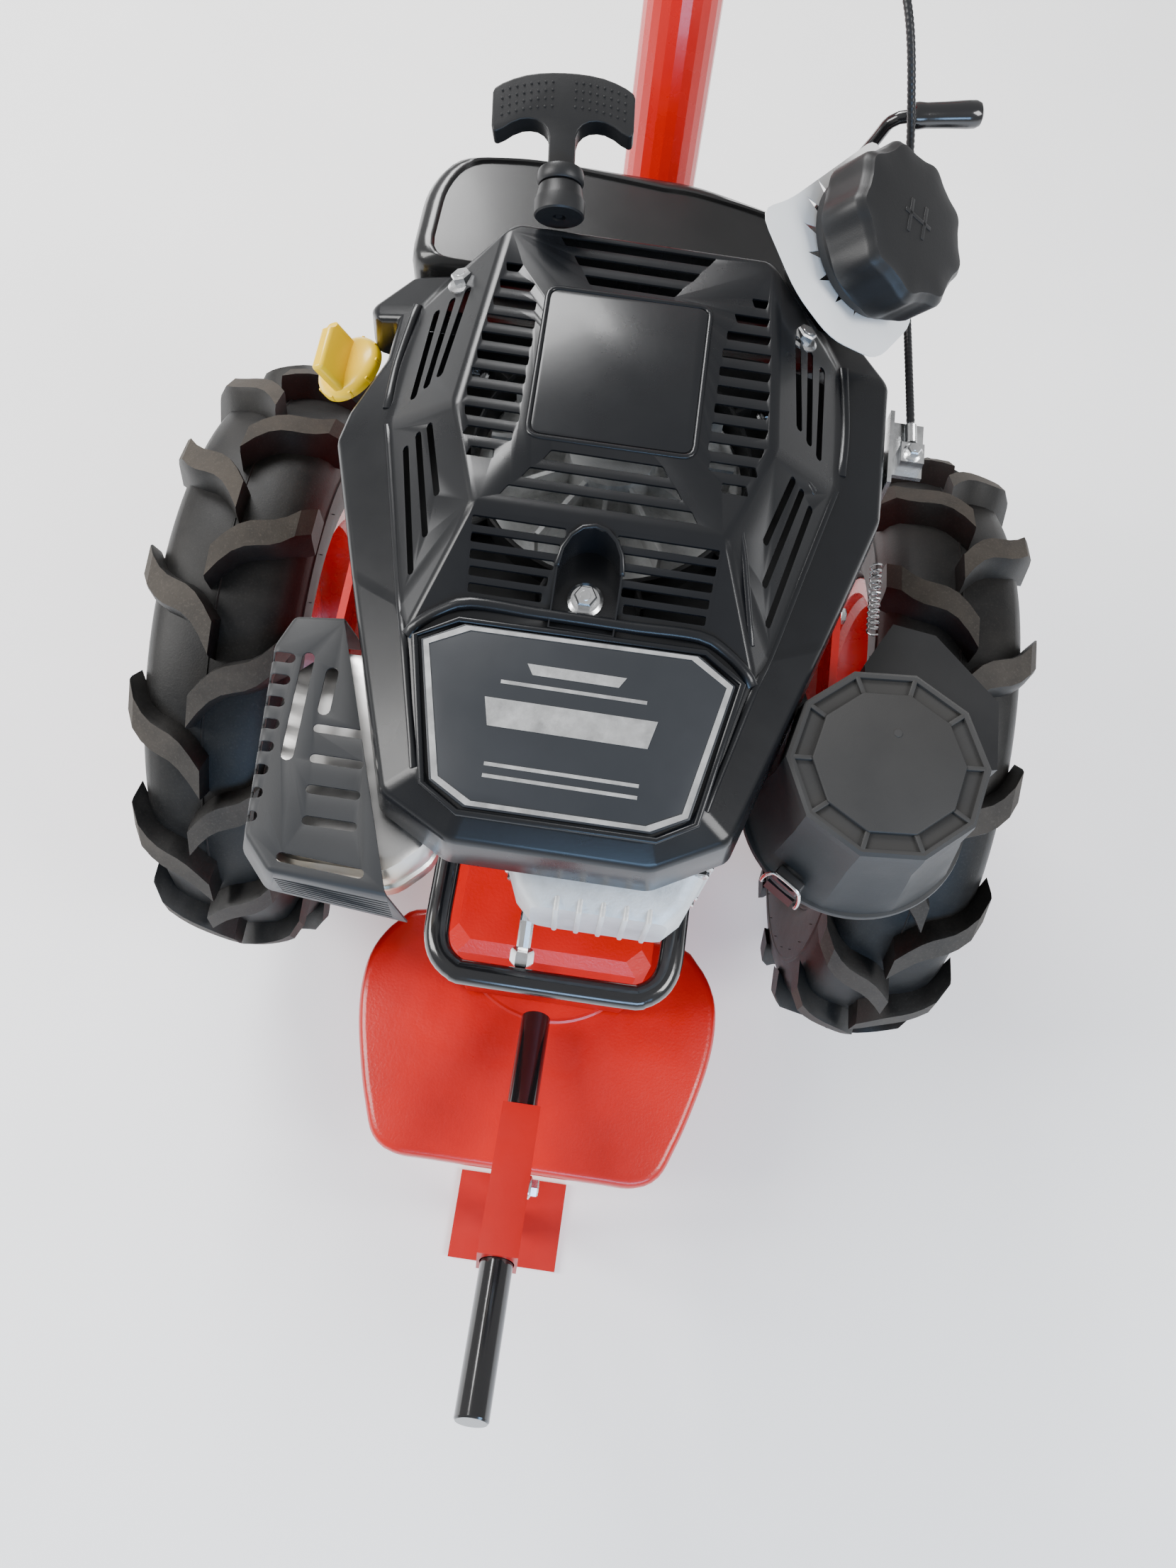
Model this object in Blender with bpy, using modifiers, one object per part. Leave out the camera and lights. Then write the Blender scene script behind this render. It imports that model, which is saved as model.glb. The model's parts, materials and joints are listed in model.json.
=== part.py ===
"""Two-wheel walking tractor (tiller): engine unit, gearbox, wheels, front weight, prop and handlebar.

Metres, +Z up. The front points along -Y and the operator stands at +Y. While the parts are built, Y = 0 is
the wheel axle; at the end everything hangs on one empty, which moves the middle of the object to the origin.
"""

import math

import bmesh
import bpy
import numpy as np
from mathutils import Matrix, Vector

# ---------------------------------------------------------------- driving dimensions
GAP = 0.0004

TYRE_R = 0.285
CARCASS_R = 0.262
TYRE_HALF = 0.0615
TRACK_HALF = 0.2935
LUGS_PER_SIDE = 15
AXLE_Z = TYRE_R
SHAFT_R = 0.0125

FINAL_TEETH = 32
PINION_TEETH = 12
GEAR_MODULE = 0.0045
GEAR_WIDTH = 0.018
PINION_Z = AXLE_Z + GEAR_MODULE * (FINAL_TEETH + PINION_TEETH) / 2 + 0.0008

CASING_R = 0.110
CASING_TOP = 0.440
CASING_HALF = 0.062
BELL_TOP = 0.552
BASE_TOP = 0.5645
CRANKCASE_TOP = 0.665

SKIRT_Z = 0.672
PLATEAU_Z = 0.765
SHEET = 0.002

TANK_LOW = 0.605
TANK_TOP = 0.712
CAP_AXIS = Vector((0.592, -0.154, 0.791)).normalized()
CAP_TOP = Vector((0.1755, 0.155, 0.787))
CAP_R = 0.055
NECK_R = 0.032

OIL_AXIS = Vector((-0.5, 0.0, 0.866)).normalized()
OIL_MOUTH = Vector((-0.1960, 0.070, 0.656))

PULL_AXIS = Vector((-0.10, 0.93, 0.36)).normalized()
ROPE_EXIT = Vector((-0.057, 0.124, 0.7755))

CLEANER = Vector((0.200, -0.190, 0))
LATCH_OUT = Vector((-0.5592, -0.8290, 0)).normalized()
LATCH_HINGE = CLEANER + LATCH_OUT * 0.0765 + Vector((0, 0, 0.597))

BAR_R = 0.014
BAR_START = Vector((0, -0.2925, 0.2103))
BAR_TIP = Vector((0, -0.638, 0.3570))
BAR_AXIS = (BAR_TIP - BAR_START).normalized()
SLEEVE_HALF = 0.0172
SLEEVE_FROM = 0.115
SLEEVE_TO = 0.253
FOOT_Y = -0.494
FOOT_SIZE = (0.116, 0.090, 0.006)
LEG_R = 0.0125

COLUMN_R = 0.030
COLUMN_WALL = 0.004
COLUMN_AXIS = Vector((0, 0.371, 0.928)).normalized()
COLUMN_FOOT = Vector((0, 0.243, 0.400))
COLUMN_LENGTH = 0.423
TILT_PIVOT = Vector((0, 0.4350, 0.8580))
HANDLE_R = 0.0125
GRIP_X = 0.285
GRIP_FROM = 1.030
GRIP_TO = 1.165

ORDER = []


# ---------------------------------------------------------------- scene and materials
def clear_scene():
    for obj in list(bpy.data.objects):
        bpy.data.objects.remove(obj, do_unlink=True)


def collection(name):
    found = bpy.data.collections.new(name)
    bpy.context.scene.collection.children.link(found)
    return found


def material(name, colour, roughness, metallic=0.0):
    made = bpy.data.materials.new(name)
    made.use_nodes = True
    shader = made.node_tree.nodes["Principled BSDF"]
    shader.inputs["Base Color"].default_value = (*colour, 1)
    shader.inputs["Roughness"].default_value = roughness
    shader.inputs["Metallic"].default_value = metallic
    return made


clear_scene()
PARTS = collection("tiller")
CUTTERS = collection("cutters")

RED = material("red_paint", (0.62, 0.012, 0.006), 0.35)
BLACK = material("black_paint", (0.018, 0.019, 0.021), 0.4)
SATIN = material("black_plastic", (0.022, 0.022, 0.023), 0.5)
RUBBER = material("tyre_rubber", (0.020, 0.019, 0.018), 0.8)
GRIP = material("grip_rubber", (0.015, 0.015, 0.016), 0.7)
ZINC = material("zinc", (0.62, 0.63, 0.64), 0.3, 1.0)
STEEL = material("steel", (0.45, 0.45, 0.45), 0.35, 1.0)
CAST = material("cast_aluminium", (0.55, 0.55, 0.54), 0.5, 1.0)
YELLOW = material("yellow_plastic", (0.75, 0.50, 0.01), 0.35)
DECAL = material("decal", (0.030, 0.033, 0.037), 0.35)


# ---------------------------------------------------------------- making objects
def add(name, mesh, look):
    """A named object of this mesh among the parts, with its material."""
    obj = bpy.data.objects.new(name, mesh)
    PARTS.objects.link(obj)
    obj.data.materials.clear()
    obj.data.materials.append(look)
    ORDER.append(obj)
    return obj


def mesh_from(name, build, smooth=False):
    mesh = bpy.data.meshes.new(name)
    work = bmesh.new()
    build(work)
    bmesh.ops.recalc_face_normals(work, faces=work.faces)
    work.to_mesh(mesh)
    work.free()
    if smooth:
        mesh.shade_smooth()
        mesh.set_sharp_from_angle(angle=math.radians(35))
    return mesh


def towards(axis):
    """The rotation that takes +Z to this axis."""
    return Vector((0, 0, 1)).rotation_difference(Vector(axis)).to_matrix().to_4x4()


def helper(mesh):
    """An object outside the parts, for a Boolean."""
    obj = bpy.data.objects.new("cutter", mesh)
    CUTTERS.objects.link(obj)
    obj.hide_render = True
    obj.display_type = "WIRE"
    return obj


def baked(obj):
    """The object's evaluated mesh in world space, put back on it with its modifiers gone."""
    bpy.context.view_layer.update()
    graph = bpy.context.evaluated_depsgraph_get()
    made = bpy.data.meshes.new_from_object(obj.evaluated_get(graph))
    made.transform(obj.matrix_world)
    return made


def boolean(obj, meshes, operation):
    """Cuts these meshes from the object, or joins them to it, one after another."""
    for mesh in meshes:
        other = helper(mesh)
        step = obj.modifiers.new("boolean", "BOOLEAN")
        step.object = other
        step.operation = operation
        step.solver = "EXACT"
        result = baked(obj)
        obj.modifiers.clear()
        old = obj.data
        result.materials.clear()
        result.materials.append(old.materials[0])
        obj.data = result
        bpy.data.objects.remove(other, do_unlink=True)
        bpy.data.meshes.remove(old)
    return obj


def box_mesh(low, high, bevel=0.0, segments=1):
    low, high = Vector(low), Vector(high)

    def build(work):
        bmesh.ops.create_cube(work, size=1)
        size = high - low
        bmesh.ops.transform(
            work, matrix=Matrix.Translation((low + high) / 2) @ Matrix.Diagonal((*size, 1)), verts=work.verts
        )
        if bevel:
            bmesh.ops.bevel(
                work, geom=list(work.edges), offset=bevel, segments=segments, affect="EDGES", profile=0.5
            )

    return mesh_from("box", build)


def rod_mesh(start, end, radius, sides=16, end_radius=None):
    """A cylinder, or a cone, from one point to another."""
    start, end = Vector(start), Vector(end)
    length = (end - start).length

    def build(work):
        bmesh.ops.create_cone(
            work,
            cap_ends=True,
            segments=sides,
            radius1=radius,
            radius2=radius if end_radius is None else end_radius,
            depth=length,
        )
        place = Matrix.Translation((start + end) / 2) @ towards((end - start).normalized())
        bmesh.ops.transform(work, matrix=place, verts=work.verts)

    return mesh_from("rod", build, smooth=True)


def turned_mesh(profile, origin, axis, steps=24, ring=False):
    """A profile of (radius, height) pairs, turned about the axis through the origin by a Screw modifier."""
    area = 0.0
    loop = profile + [profile[0]]
    for (r0, z0), (r1, z1) in zip(loop, loop[1:]):
        area += r0 * z1 - r1 * z0
    points = profile if area < 0 else profile[::-1]
    mesh = bpy.data.meshes.new("profile")
    edges = [(i, i + 1) for i in range(len(points) - 1)]
    if ring:
        edges.append((len(points) - 1, 0))
    mesh.from_pydata([(r, 0, z) for r, z in points], edges, [])
    obj = helper(mesh)
    screw = obj.modifiers.new("screw", "SCREW")
    screw.axis = "Z"
    screw.steps = steps
    screw.render_steps = steps
    screw.use_merge_vertices = True
    screw.merge_threshold = 0.00002
    made = baked(obj)
    bpy.data.objects.remove(obj, do_unlink=True)
    made.transform(Matrix.Translation(Vector(origin)) @ towards(axis))
    made.shade_smooth()
    made.set_sharp_from_angle(angle=math.radians(35))
    return made


def prism_mesh(outline, place, low, high):
    """A flat outline of (x, y) points, extruded from low to high along its own z, then placed."""

    def build(work):
        bottom = [work.verts.new((x, y, low)) for x, y in outline]
        face = work.faces.new(bottom)
        raised = bmesh.ops.extrude_face_region(work, geom=[face])["geom"]
        tops = [item for item in raised if isinstance(item, bmesh.types.BMVert)]
        bmesh.ops.translate(work, vec=(0, 0, high - low), verts=tops)
        bmesh.ops.transform(work, matrix=place, verts=work.verts)

    return mesh_from("prism", build)


def loft_mesh(rings, closed=True):
    """Skins rings of equal length; closed also caps the first and the last ring."""

    def build(work):
        rows = [[work.verts.new(point) for point in ring] for ring in rings]
        for lower, upper in zip(rows, rows[1:]):
            count = len(lower)
            for i in range(count):
                j = (i + 1) % count
                work.faces.new((lower[i], lower[j], upper[j], upper[i]))
        if closed:
            work.faces.new(rows[0][::-1])
            work.faces.new(rows[-1])

    return mesh_from("loft", build)


def smooth_path(points, spacing):
    """Points about this far apart along a Catmull-Rom curve through the given ones."""
    points = [Vector(p) for p in points]
    padded = [points[0] * 2 - points[1]] + points + [points[-1] * 2 - points[-2]]
    path = []
    for a, b, c, d in zip(padded, padded[1:], padded[2:], padded[3:]):
        steps = max(1, round((c - b).length / spacing))
        for i in range(steps):
            t = i / steps
            path.append(
                0.5
                * (
                    2 * b
                    + (c - a) * t
                    + (2 * a - 5 * b + 4 * c - d) * t * t
                    + (3 * b - a - 3 * c + d) * t * t * t
                )
            )
    path.append(points[-1])
    return path


def tube_mesh(points, radius, resolution=2, cyclic=False):
    """A round tube along the points: a POLY curve with a bevel and filled caps, welded."""
    curve = bpy.data.curves.new("tube", "CURVE")
    curve.dimensions = "3D"
    curve.bevel_depth = radius
    curve.bevel_resolution = resolution
    curve.use_fill_caps = True
    curve.resolution_u = 1
    spline = curve.splines.new("POLY")
    spline.points.add(len(points) - 1)
    for place, point in zip(spline.points, points):
        place.co = (*point, 1)
    spline.use_cyclic_u = cyclic
    obj = helper(curve)
    made = baked(obj)
    bpy.data.objects.remove(obj, do_unlink=True)
    work = bmesh.new()
    work.from_mesh(made)
    bmesh.ops.remove_doubles(work, verts=work.verts, dist=0.00001)
    bmesh.ops.recalc_face_normals(work, faces=work.faces)
    work.to_mesh(made)
    work.free()
    made.shade_smooth()
    made.set_sharp_from_angle(angle=math.radians(35))
    return made


def octagon(half_x, half_y, cut, z, centre=(0, 0)):
    """The eight corners of a rectangle with its corners cut off."""
    cx, cy = centre
    flat = [
        (half_x - cut, -half_y),
        (half_x, -half_y + cut),
        (half_x, half_y - cut),
        (half_x - cut, half_y),
        (-half_x + cut, half_y),
        (-half_x, half_y - cut),
        (-half_x, -half_y + cut),
        (-half_x + cut, -half_y),
    ]
    return [(cx + x, cy + y, z) for x, y in flat]


def shell(obj, thickness):
    """Gives an open surface its thickness, inwards."""
    step = obj.modifiers.new("solidify", "SOLIDIFY")
    step.thickness = thickness
    step.offset = -1
    step.use_even_offset = True
    made = baked(obj)
    obj.modifiers.clear()
    made.materials.clear()
    made.materials.append(obj.data.materials[0])
    obj.data = made
    return obj


# ---------------------------------------------------------------- wheels and axle
def tyre_carcass(centre_x, side):
    """A horseshoe section, open at the rim, turned about the axle. side is +1 or -1."""
    outer = [(0.1520, 0.038), (0.166, 0.038), (0.171, 0.048), (0.205, 0.058), (0.238, 0.0565)]
    outer += [(0.254, 0.046), (CARCASS_R, 0.022)]
    inner = [(0.247, 0.0205), (0.240, 0.038), (0.230, 0.0455), (0.205, 0.048), (0.175, 0.041)]
    inner.append((0.1520, 0.0325))
    profile = outer + [(r, -a) for r, a in outer[::-1]] + [(r, -a) for r, a in inner[::-1]] + inner
    return turned_mesh(profile, (centre_x, 0, AXLE_Z), (side, 0, 0), steps=28, ring=True)


def lug_mesh(centre_x, side, angle):
    """One chevron lug: a bar from just past the middle of the tread to the shoulder, swept backwards."""
    stations = [(-0.006, 0.0, TYRE_R, 0.025, 0.013), (TYRE_HALF, -0.215, TYRE_R - 0.017, 0.032, 0.014)]
    rings = []
    for across, sweep, top, depth, half_width in stations:
        half = half_width / TYRE_R
        ring = []
        corners = ((top - depth, -half * 1.35), (top - depth, half * 1.35), (top, half), (top, -half))
        for radius, turn in corners:
            phi = angle + sweep + turn
            ring.append((centre_x + side * across, -radius * math.sin(phi), AXLE_Z + radius * math.cos(phi)))
        rings.append(ring)
    return loft_mesh(rings)


def tyre(name, centre_x, phase):
    """The carcass with its lugs; those of the two sides are half a pitch apart."""
    obj = add(name, tyre_carcass(centre_x, 1), RUBBER)
    pitch = 2 * math.pi / LUGS_PER_SIDE
    lugs = [lug_mesh(centre_x, 1, phase + pitch * (i + 0.5)) for i in range(LUGS_PER_SIDE)]
    lugs += [lug_mesh(centre_x, -1, phase + pitch * i) for i in range(LUGS_PER_SIDE)]
    return boolean(obj, lugs, "UNION")


def rim(name, centre_x, side):
    disc = [(0.148, 0.014), (0.090, 0.004), (0.014, 0.004), (0.014, 0.0), (0.091, 0.0), (0.148, 0.010)]
    lip = [(0.1514, 0.0384), (0.165, 0.0384), (0.165, 0.0418), (0.148, 0.0418)]
    profile = lip + disc + [(r, -a) for r, a in lip[::-1]]
    return add(name, turned_mesh(profile, (centre_x, 0, AXLE_Z), (side, 0, 0), steps=28, ring=True), RED)


def hub(name, centre_x, side):
    profile = [(0.048, -GAP), (0.048, -0.009), (0.025, -0.010), (0.025, -0.072), (0.0131, -0.072)]
    profile.append((0.0131, -GAP))
    return add(name, turned_mesh(profile, (centre_x, 0, AXLE_Z), (side, 0, 0), steps=24, ring=True), CAST)


def gear_outline(teeth, module, backlash):
    """Trapezium teeth round a circle, with a little off each flank."""
    pitch_r = module * teeth / 2
    points = []
    for i in range(teeth):
        middle = 2 * math.pi * i / teeth
        root, tip = pitch_r - 1.2 * module, pitch_r + 0.9 * module
        base = math.pi / teeth
        for radius, share in ((root, -0.80), (tip, -0.30), (tip, 0.30), (root, 0.80)):
            half = base * share - math.copysign(backlash / pitch_r, share)
            points.append((radius * math.cos(middle + half), radius * math.sin(middle + half)))
    return points


def gear(name, teeth, centre, bore, turn):
    to_x = Matrix.Rotation(math.pi / 2, 4, "Y")
    place = Matrix.Translation(centre) @ to_x @ Matrix.Rotation(turn, 4, "Z")
    outline = gear_outline(teeth, GEAR_MODULE, 0.0003)
    obj = add(name, prism_mesh(outline, place, -GEAR_WIDTH / 2, GEAR_WIDTH / 2), STEEL)
    if bore:
        middle = Vector(centre)
        reach = Vector((GEAR_WIDTH, 0, 0))
        boolean(obj, [rod_mesh(middle - reach, middle + reach, bore, 24)], "DIFFERENCE")
    return obj


def axle_set():
    made = []
    for word, side, phase in (("left", -1, math.radians(-2)), ("right", 1, math.radians(3))):
        x = side * TRACK_HALF
        made += [tyre(f"tyre_{word}", x, phase), rim(f"rim_{word}", x, side), hub(f"hub_{word}", x, side)]
    reach = TRACK_HALF + 0.018
    shaft = rod_mesh((-reach, 0, AXLE_Z), (reach, 0, AXLE_Z), SHAFT_R, 24)
    made.append(add("axle_shaft", shaft, STEEL))
    made.append(gear("final_gear", FINAL_TEETH, (0, 0, AXLE_Z), SHAFT_R + 0.0006, math.pi / FINAL_TEETH))
    return made


def pinion():
    centre = Vector((0, 0, PINION_Z))
    obj = gear("final_pinion", PINION_TEETH, centre, 0, 0)
    reach = Vector((0.046, 0, 0))
    return boolean(obj, [rod_mesh(centre - reach, centre + reach, 0.010, 16)], "UNION")


# ---------------------------------------------------------------- gearbox and chassis
def casing(name, side):
    """Half of the gearbox casing, open towards the split plane."""
    place = Matrix(((0, 0, side, 0), (0, 1, 0, 0), (1, 0, 0, 0), (0, 0, 0, 1)))
    outline = []
    for i in range(17):
        angle = math.radians(65 + 230 * i / 16)
        outline.append((AXLE_Z + CASING_R * math.cos(angle), CASING_R * math.sin(angle)))
    outline = [(CASING_TOP, 0.1)] + outline + [(CASING_TOP, -0.1)]
    obj = add(name, prism_mesh(outline, place, GAP / 2, CASING_HALF), RED)
    inner, outer = side * 0.050, side * 0.165
    boolean(obj, [rod_mesh((inner, 0, AXLE_Z), (outer, 0, AXLE_Z), 0.036, 20, 0.030)], "UNION")
    deep = side * (CASING_HALF - 0.010)
    cavity = [
        rod_mesh((-side * 0.01, 0, AXLE_Z), (deep, 0, AXLE_Z), 0.0900, 28),
        rod_mesh((-side * 0.01, 0, PINION_Z), (deep - side * 0.003, 0, PINION_Z), 0.0400, 20),
        rod_mesh((-side * 0.01, 0, AXLE_Z), (side * 0.2, 0, AXLE_Z), 0.0150, 24),
    ]
    return boolean(obj, cavity, "DIFFERENCE")


def bell_housing():
    """The red housing between gearbox and engine, round the clutch: open above and below."""
    rings = [
        octagon(0.085, 0.105, 0.030, CASING_TOP + GAP),
        octagon(0.105, 0.120, 0.040, 0.470),
        octagon(0.190, 0.146, 0.055, 0.515),
        octagon(0.195, 0.152, 0.050, 0.522),
        octagon(0.195, 0.152, 0.050, BELL_TOP),
    ]
    obj = add("bell_housing", loft_mesh(rings, closed=False), RED)
    return shell(obj, 0.006)


def chassis():
    made = [casing("gearbox_left", -1), casing("gearbox_right", 1), bell_housing()]

    block = loft_mesh(
        [
            octagon(0.088, 0.080, 0.012, 0.1934, (0.004, -0.2054)),
            octagon(0.088, 0.080, 0.012, 0.385, (0.004, -0.2054)),
            octagon(0.078, 0.070, 0.012, 0.395, (0.004, -0.2054)),
        ]
    )
    obj = add("weight_bracket", block, RED)
    hollow = box_mesh((-0.070, -0.270, 0.180), (0.078, -0.150, 0.375))
    nose = rod_mesh((-0.2, 0, AXLE_Z), (0.2, 0, AXLE_Z), CASING_R + 0.0012, 64)
    made.append(boolean(obj, [hollow, nose], "DIFFERENCE"))

    plate_outline = [
        (0.135, -0.448), (0.160, -0.415), (0.178, -0.345), (0.182, -0.295), (0.176, -0.255), (0.155, -0.222),
        (0.115, -0.200), (-0.115, -0.200), (-0.155, -0.222), (-0.176, -0.255), (-0.182, -0.295),
        (-0.178, -0.345), (-0.160, -0.415), (-0.135, -0.448),
    ]  # fmt: skip
    weight = prism_mesh(plate_outline, Matrix.Identity(4), 0.140, 0.185)
    obj = add("front_weight", weight, RED)
    boss = rod_mesh((0.004, -0.2054, 0.170), (0.004, -0.2054, 0.193), 0.096, 32)
    made.append(boolean(obj, [boss], "UNION"))

    made.append(add("front_bar", rod_mesh(BAR_START, BAR_TIP, BAR_R, 24), BLACK))
    return made


def prop():
    """The sleeve on the bar with the parking leg and its foot plate."""
    frame = Matrix.Translation(BAR_START) @ towards(BAR_AXIS)
    along = frame.to_3x3() @ Vector((0, 0, 1))
    start, end = BAR_START + along * SLEEVE_FROM, BAR_START + along * SLEEVE_TO
    square = [(SLEEVE_HALF, -SLEEVE_HALF), (SLEEVE_HALF, SLEEVE_HALF)]
    square += [(-SLEEVE_HALF, SLEEVE_HALF), (-SLEEVE_HALF, -SLEEVE_HALF)]
    sleeve = prism_mesh(square, frame, SLEEVE_FROM, SLEEVE_TO)
    obj = add("prop_sleeve", sleeve, RED)
    bore = rod_mesh(start - along * 0.02, end + along * 0.02, BAR_R + 0.0010, 24)
    leg_z = (BAR_START + along * ((FOOT_Y - BAR_START.y) / along.y)).z - 0.026
    leg = rod_mesh((0, FOOT_Y, leg_z), (0, FOOT_Y, leg_z + 0.012), 0.0165, 20)
    boolean(obj, [leg], "UNION")
    boolean(obj, [bore], "DIFFERENCE")
    stem = rod_mesh((0, FOOT_Y, FOOT_SIZE[2] / 2), (0, FOOT_Y, leg_z - GAP), LEG_R, 20)
    half_x, half_y = FOOT_SIZE[0] / 2, FOOT_SIZE[1] / 2
    plate = box_mesh((-half_x, FOOT_Y - half_y, 0), (half_x, FOOT_Y + half_y, FOOT_SIZE[2]))
    return [obj, boolean(add("prop_leg", plate, RED), [stem], "UNION")]


def rear_fittings():
    bracket = box_mesh((-0.040, 0.1125, 0.345), (0.040, 0.290, 0.395), 0.004)
    obj = add("column_bracket", bracket, RED)
    low = COLUMN_FOOT - COLUMN_AXIS * 0.030
    socket = rod_mesh(low, COLUMN_FOOT + COLUMN_AXIS * 0.090, 0.0385, 24)
    gate = box_mesh((0.030, 0.140, 0.360), (0.098, 0.205, 0.4180), 0.003)
    boolean(obj, [socket, gate], "UNION")
    bore = rod_mesh(COLUMN_FOOT - COLUMN_AXIS * 0.001, COLUMN_FOOT + COLUMN_AXIS * 0.2, COLUMN_R + 0.0008, 24)
    boolean(obj, [bore], "DIFFERENCE")
    bore_r = COLUMN_R - COLUMN_WALL
    wall = [(COLUMN_R, 0), (COLUMN_R, COLUMN_LENGTH), (bore_r, COLUMN_LENGTH), (bore_r, 0)]
    column = turned_mesh(wall, COLUMN_FOOT, COLUMN_AXIS, 24, ring=True)

    hitch = add("hitch", box_mesh((-0.038, 0.1125, 0.220), (0.038, 0.360, 0.300), 0.003), RED)
    slot = box_mesh((-0.2, 0.190, 0.238), (0.2, 0.5, 0.282))
    boolean(hitch, [slot, rod_mesh((0, 0.330, 0.2), (0, 0.330, 0.32), 0.0095, 20)], "DIFFERENCE")
    pin = [(0, 0.312), (0.014, 0.312), (0.014, 0.3008), (0.008, 0.3008), (0.008, 0.203), (0.005, 0.198)]
    pin = turned_mesh(pin + [(0, 0.198)], (0, 0.330, 0), (0, 0, 1), 20)
    return [obj, add("handlebar_column", column, RED), hitch], [add("hitch_pin", pin, ZINC)]


# ---------------------------------------------------------------- engine
def mirrored(half, z):
    """A ring from the points of its +X half, listed front to rear."""
    return [(x, y, z) for x, y in half] + [(-x, y, z) for x, y in half[::-1]]


def shroud():
    """The blower housing: a stepped long octagon of sheet metal with louvres, open below."""
    rings = [
        mirrored([(0.061, -0.293), (0.112, -0.257), (0.186, -0.012), (0.186, 0.100), (0.160, 0.128)], SKIRT_Z),
        mirrored([(0.059, -0.289), (0.109, -0.254), (0.183, -0.012), (0.183, 0.099), (0.158, 0.126)], 0.704),
        mirrored([(0.052, -0.264), (0.088, -0.238), (0.152, -0.012), (0.150, 0.092), (0.130, 0.122)], 0.719),
        mirrored([(0.078, -0.100), (0.094, -0.088), (0.101, -0.006), (0.098, 0.100), (0.086, 0.118)], PLATEAU_Z),
    ]

    def build(work):
        rows = [[work.verts.new(point) for point in ring] for ring in rings]
        for lower, upper in zip(rows, rows[1:]):
            for i in range(len(lower)):
                j = (i + 1) % len(lower)
                work.faces.new((lower[i], lower[j], upper[j], upper[i]))
        work.faces.new(rows[-1])

    obj = shell(add("shroud", mesh_from("shroud", build), SATIN), SHEET)
    cutters = [box_mesh((-0.200, 0.034, 0.60), (-0.1700, 0.106, 0.7085))]
    for row in range(8):
        y = 0.068 - row * 0.0185
        for side in (-1, 1):
            low_x, high_x = sorted((side * 0.064, side * 0.090))
            cutters.append(box_mesh((low_x, y, 0.74), (high_x, y + 0.009, 0.79)))
    for y in (0.098, 0.084, -0.062, -0.078):
        cutters.append(box_mesh((-0.050, y, 0.74), (0.050, y + 0.008, 0.79)))
    return boolean(obj, cutters, "DIFFERENCE")


def decal_plate():
    """The octagonal name plate, on the slope in front of the louvres."""
    slope = math.atan2(PLATEAU_Z - 0.719, 0.264 - 0.100)
    outline = [
        (0.050, -0.046), (0.078, -0.026), (0.092, 0.030), (0.070, 0.047),
        (-0.070, 0.047), (-0.092, 0.030), (-0.078, -0.026), (-0.050, -0.046),
    ]  # fmt: skip
    middle = Vector((0, -0.206, 0.719 + (0.264 - 0.206) * math.tan(slope) + 0.0008))
    place = Matrix.Translation(middle) @ Matrix.Rotation(slope, 4, "X")
    outline = [(x * 0.84, y) for x, y in outline]
    return add("decal_plate", prism_mesh(outline, place, 0.0, 0.0010), DECAL)


def engine_block():
    """The crankcase with its mounting flange, the finned cylinder with its head, and the valve cover."""
    flange = loft_mesh([octagon(0.130, 0.130, 0.040, BELL_TOP + GAP), octagon(0.130, 0.130, 0.040, BASE_TOP)])
    case = add("crankcase", flange, CAST)
    low, high = octagon(0.104, 0.113, 0.030, BELL_TOP + 0.004), octagon(0.098, 0.108, 0.035, CRANKCASE_TOP)
    body = loft_mesh([low, high])
    boolean(case, [body], "UNION")
    boolean(case, [rod_mesh((0, 0, 0.4), (0, 0, 0.8), 0.0160, 20)], "DIFFERENCE")

    cylinder = add("cylinder", box_mesh((-0.018, -0.2200, 0.580), (0.078, -0.1140, 0.645)), CAST)
    fins = []
    for i in range(6):
        y = -0.205 + i * 0.0155
        fins.append(box_mesh((-0.026, y, 0.572), (0.079, y + 0.004, 0.653)))
    head = box_mesh((-0.024, -0.2490, 0.570), (0.079, -0.2150, 0.655), 0.006)
    boolean(cylinder, fins + [head], "UNION")
    cover = loft_mesh(
        [
            [(x, -0.2494, z) for x, z in ((0.104, 0.566), (0.104, 0.654), (-0.032, 0.654), (-0.032, 0.566))],
            [(x, -0.2700, z) for x, z in ((0.102, 0.567), (0.102, 0.653), (-0.030, 0.653), (-0.030, 0.567))],
            [(x, -0.3000, z) for x, z in ((0.080, 0.578), (0.080, 0.640), (-0.008, 0.640), (-0.008, 0.578))],
        ]
    )
    return [case, cylinder, add("valve_cover", cover, CAST)]


def crank_set():
    shaft = add("crankshaft", rod_mesh((0, 0, 0.478), (0, 0, 0.6905), 0.0125, 20), STEEL)
    fan = [(0, 0.712), (0.030, 0.712), (0.034, 0.684), (0.088, 0.684), (0.088, 0.672), (0.0135, 0.672)]
    fan += [(0.0135, 0.694), (0, 0.694)]
    wheel = add("flywheel_fan", turned_mesh(fan, (0, 0, 0), (0, 0, 1), 24), CAST)
    blades = []
    for i in range(12):
        blade = box_mesh((0.028, -0.0015, 0.680), (0.082, 0.0015, 0.708))
        blade.transform(Matrix.Rotation(2 * math.pi * i / 12, 4, "Z"))
        blades.append(blade)
    boolean(wheel, blades, "UNION")
    cup = [(0.060, 0.520), (0.060, 0.480), (0.0135, 0.480), (0.0135, 0.500), (0.056, 0.500), (0.056, 0.520)]
    return [shaft, wheel, add("clutch_drum", turned_mesh(cup, (0, 0, 0), (0, 0, 1), 24, ring=True), STEEL)]


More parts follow.
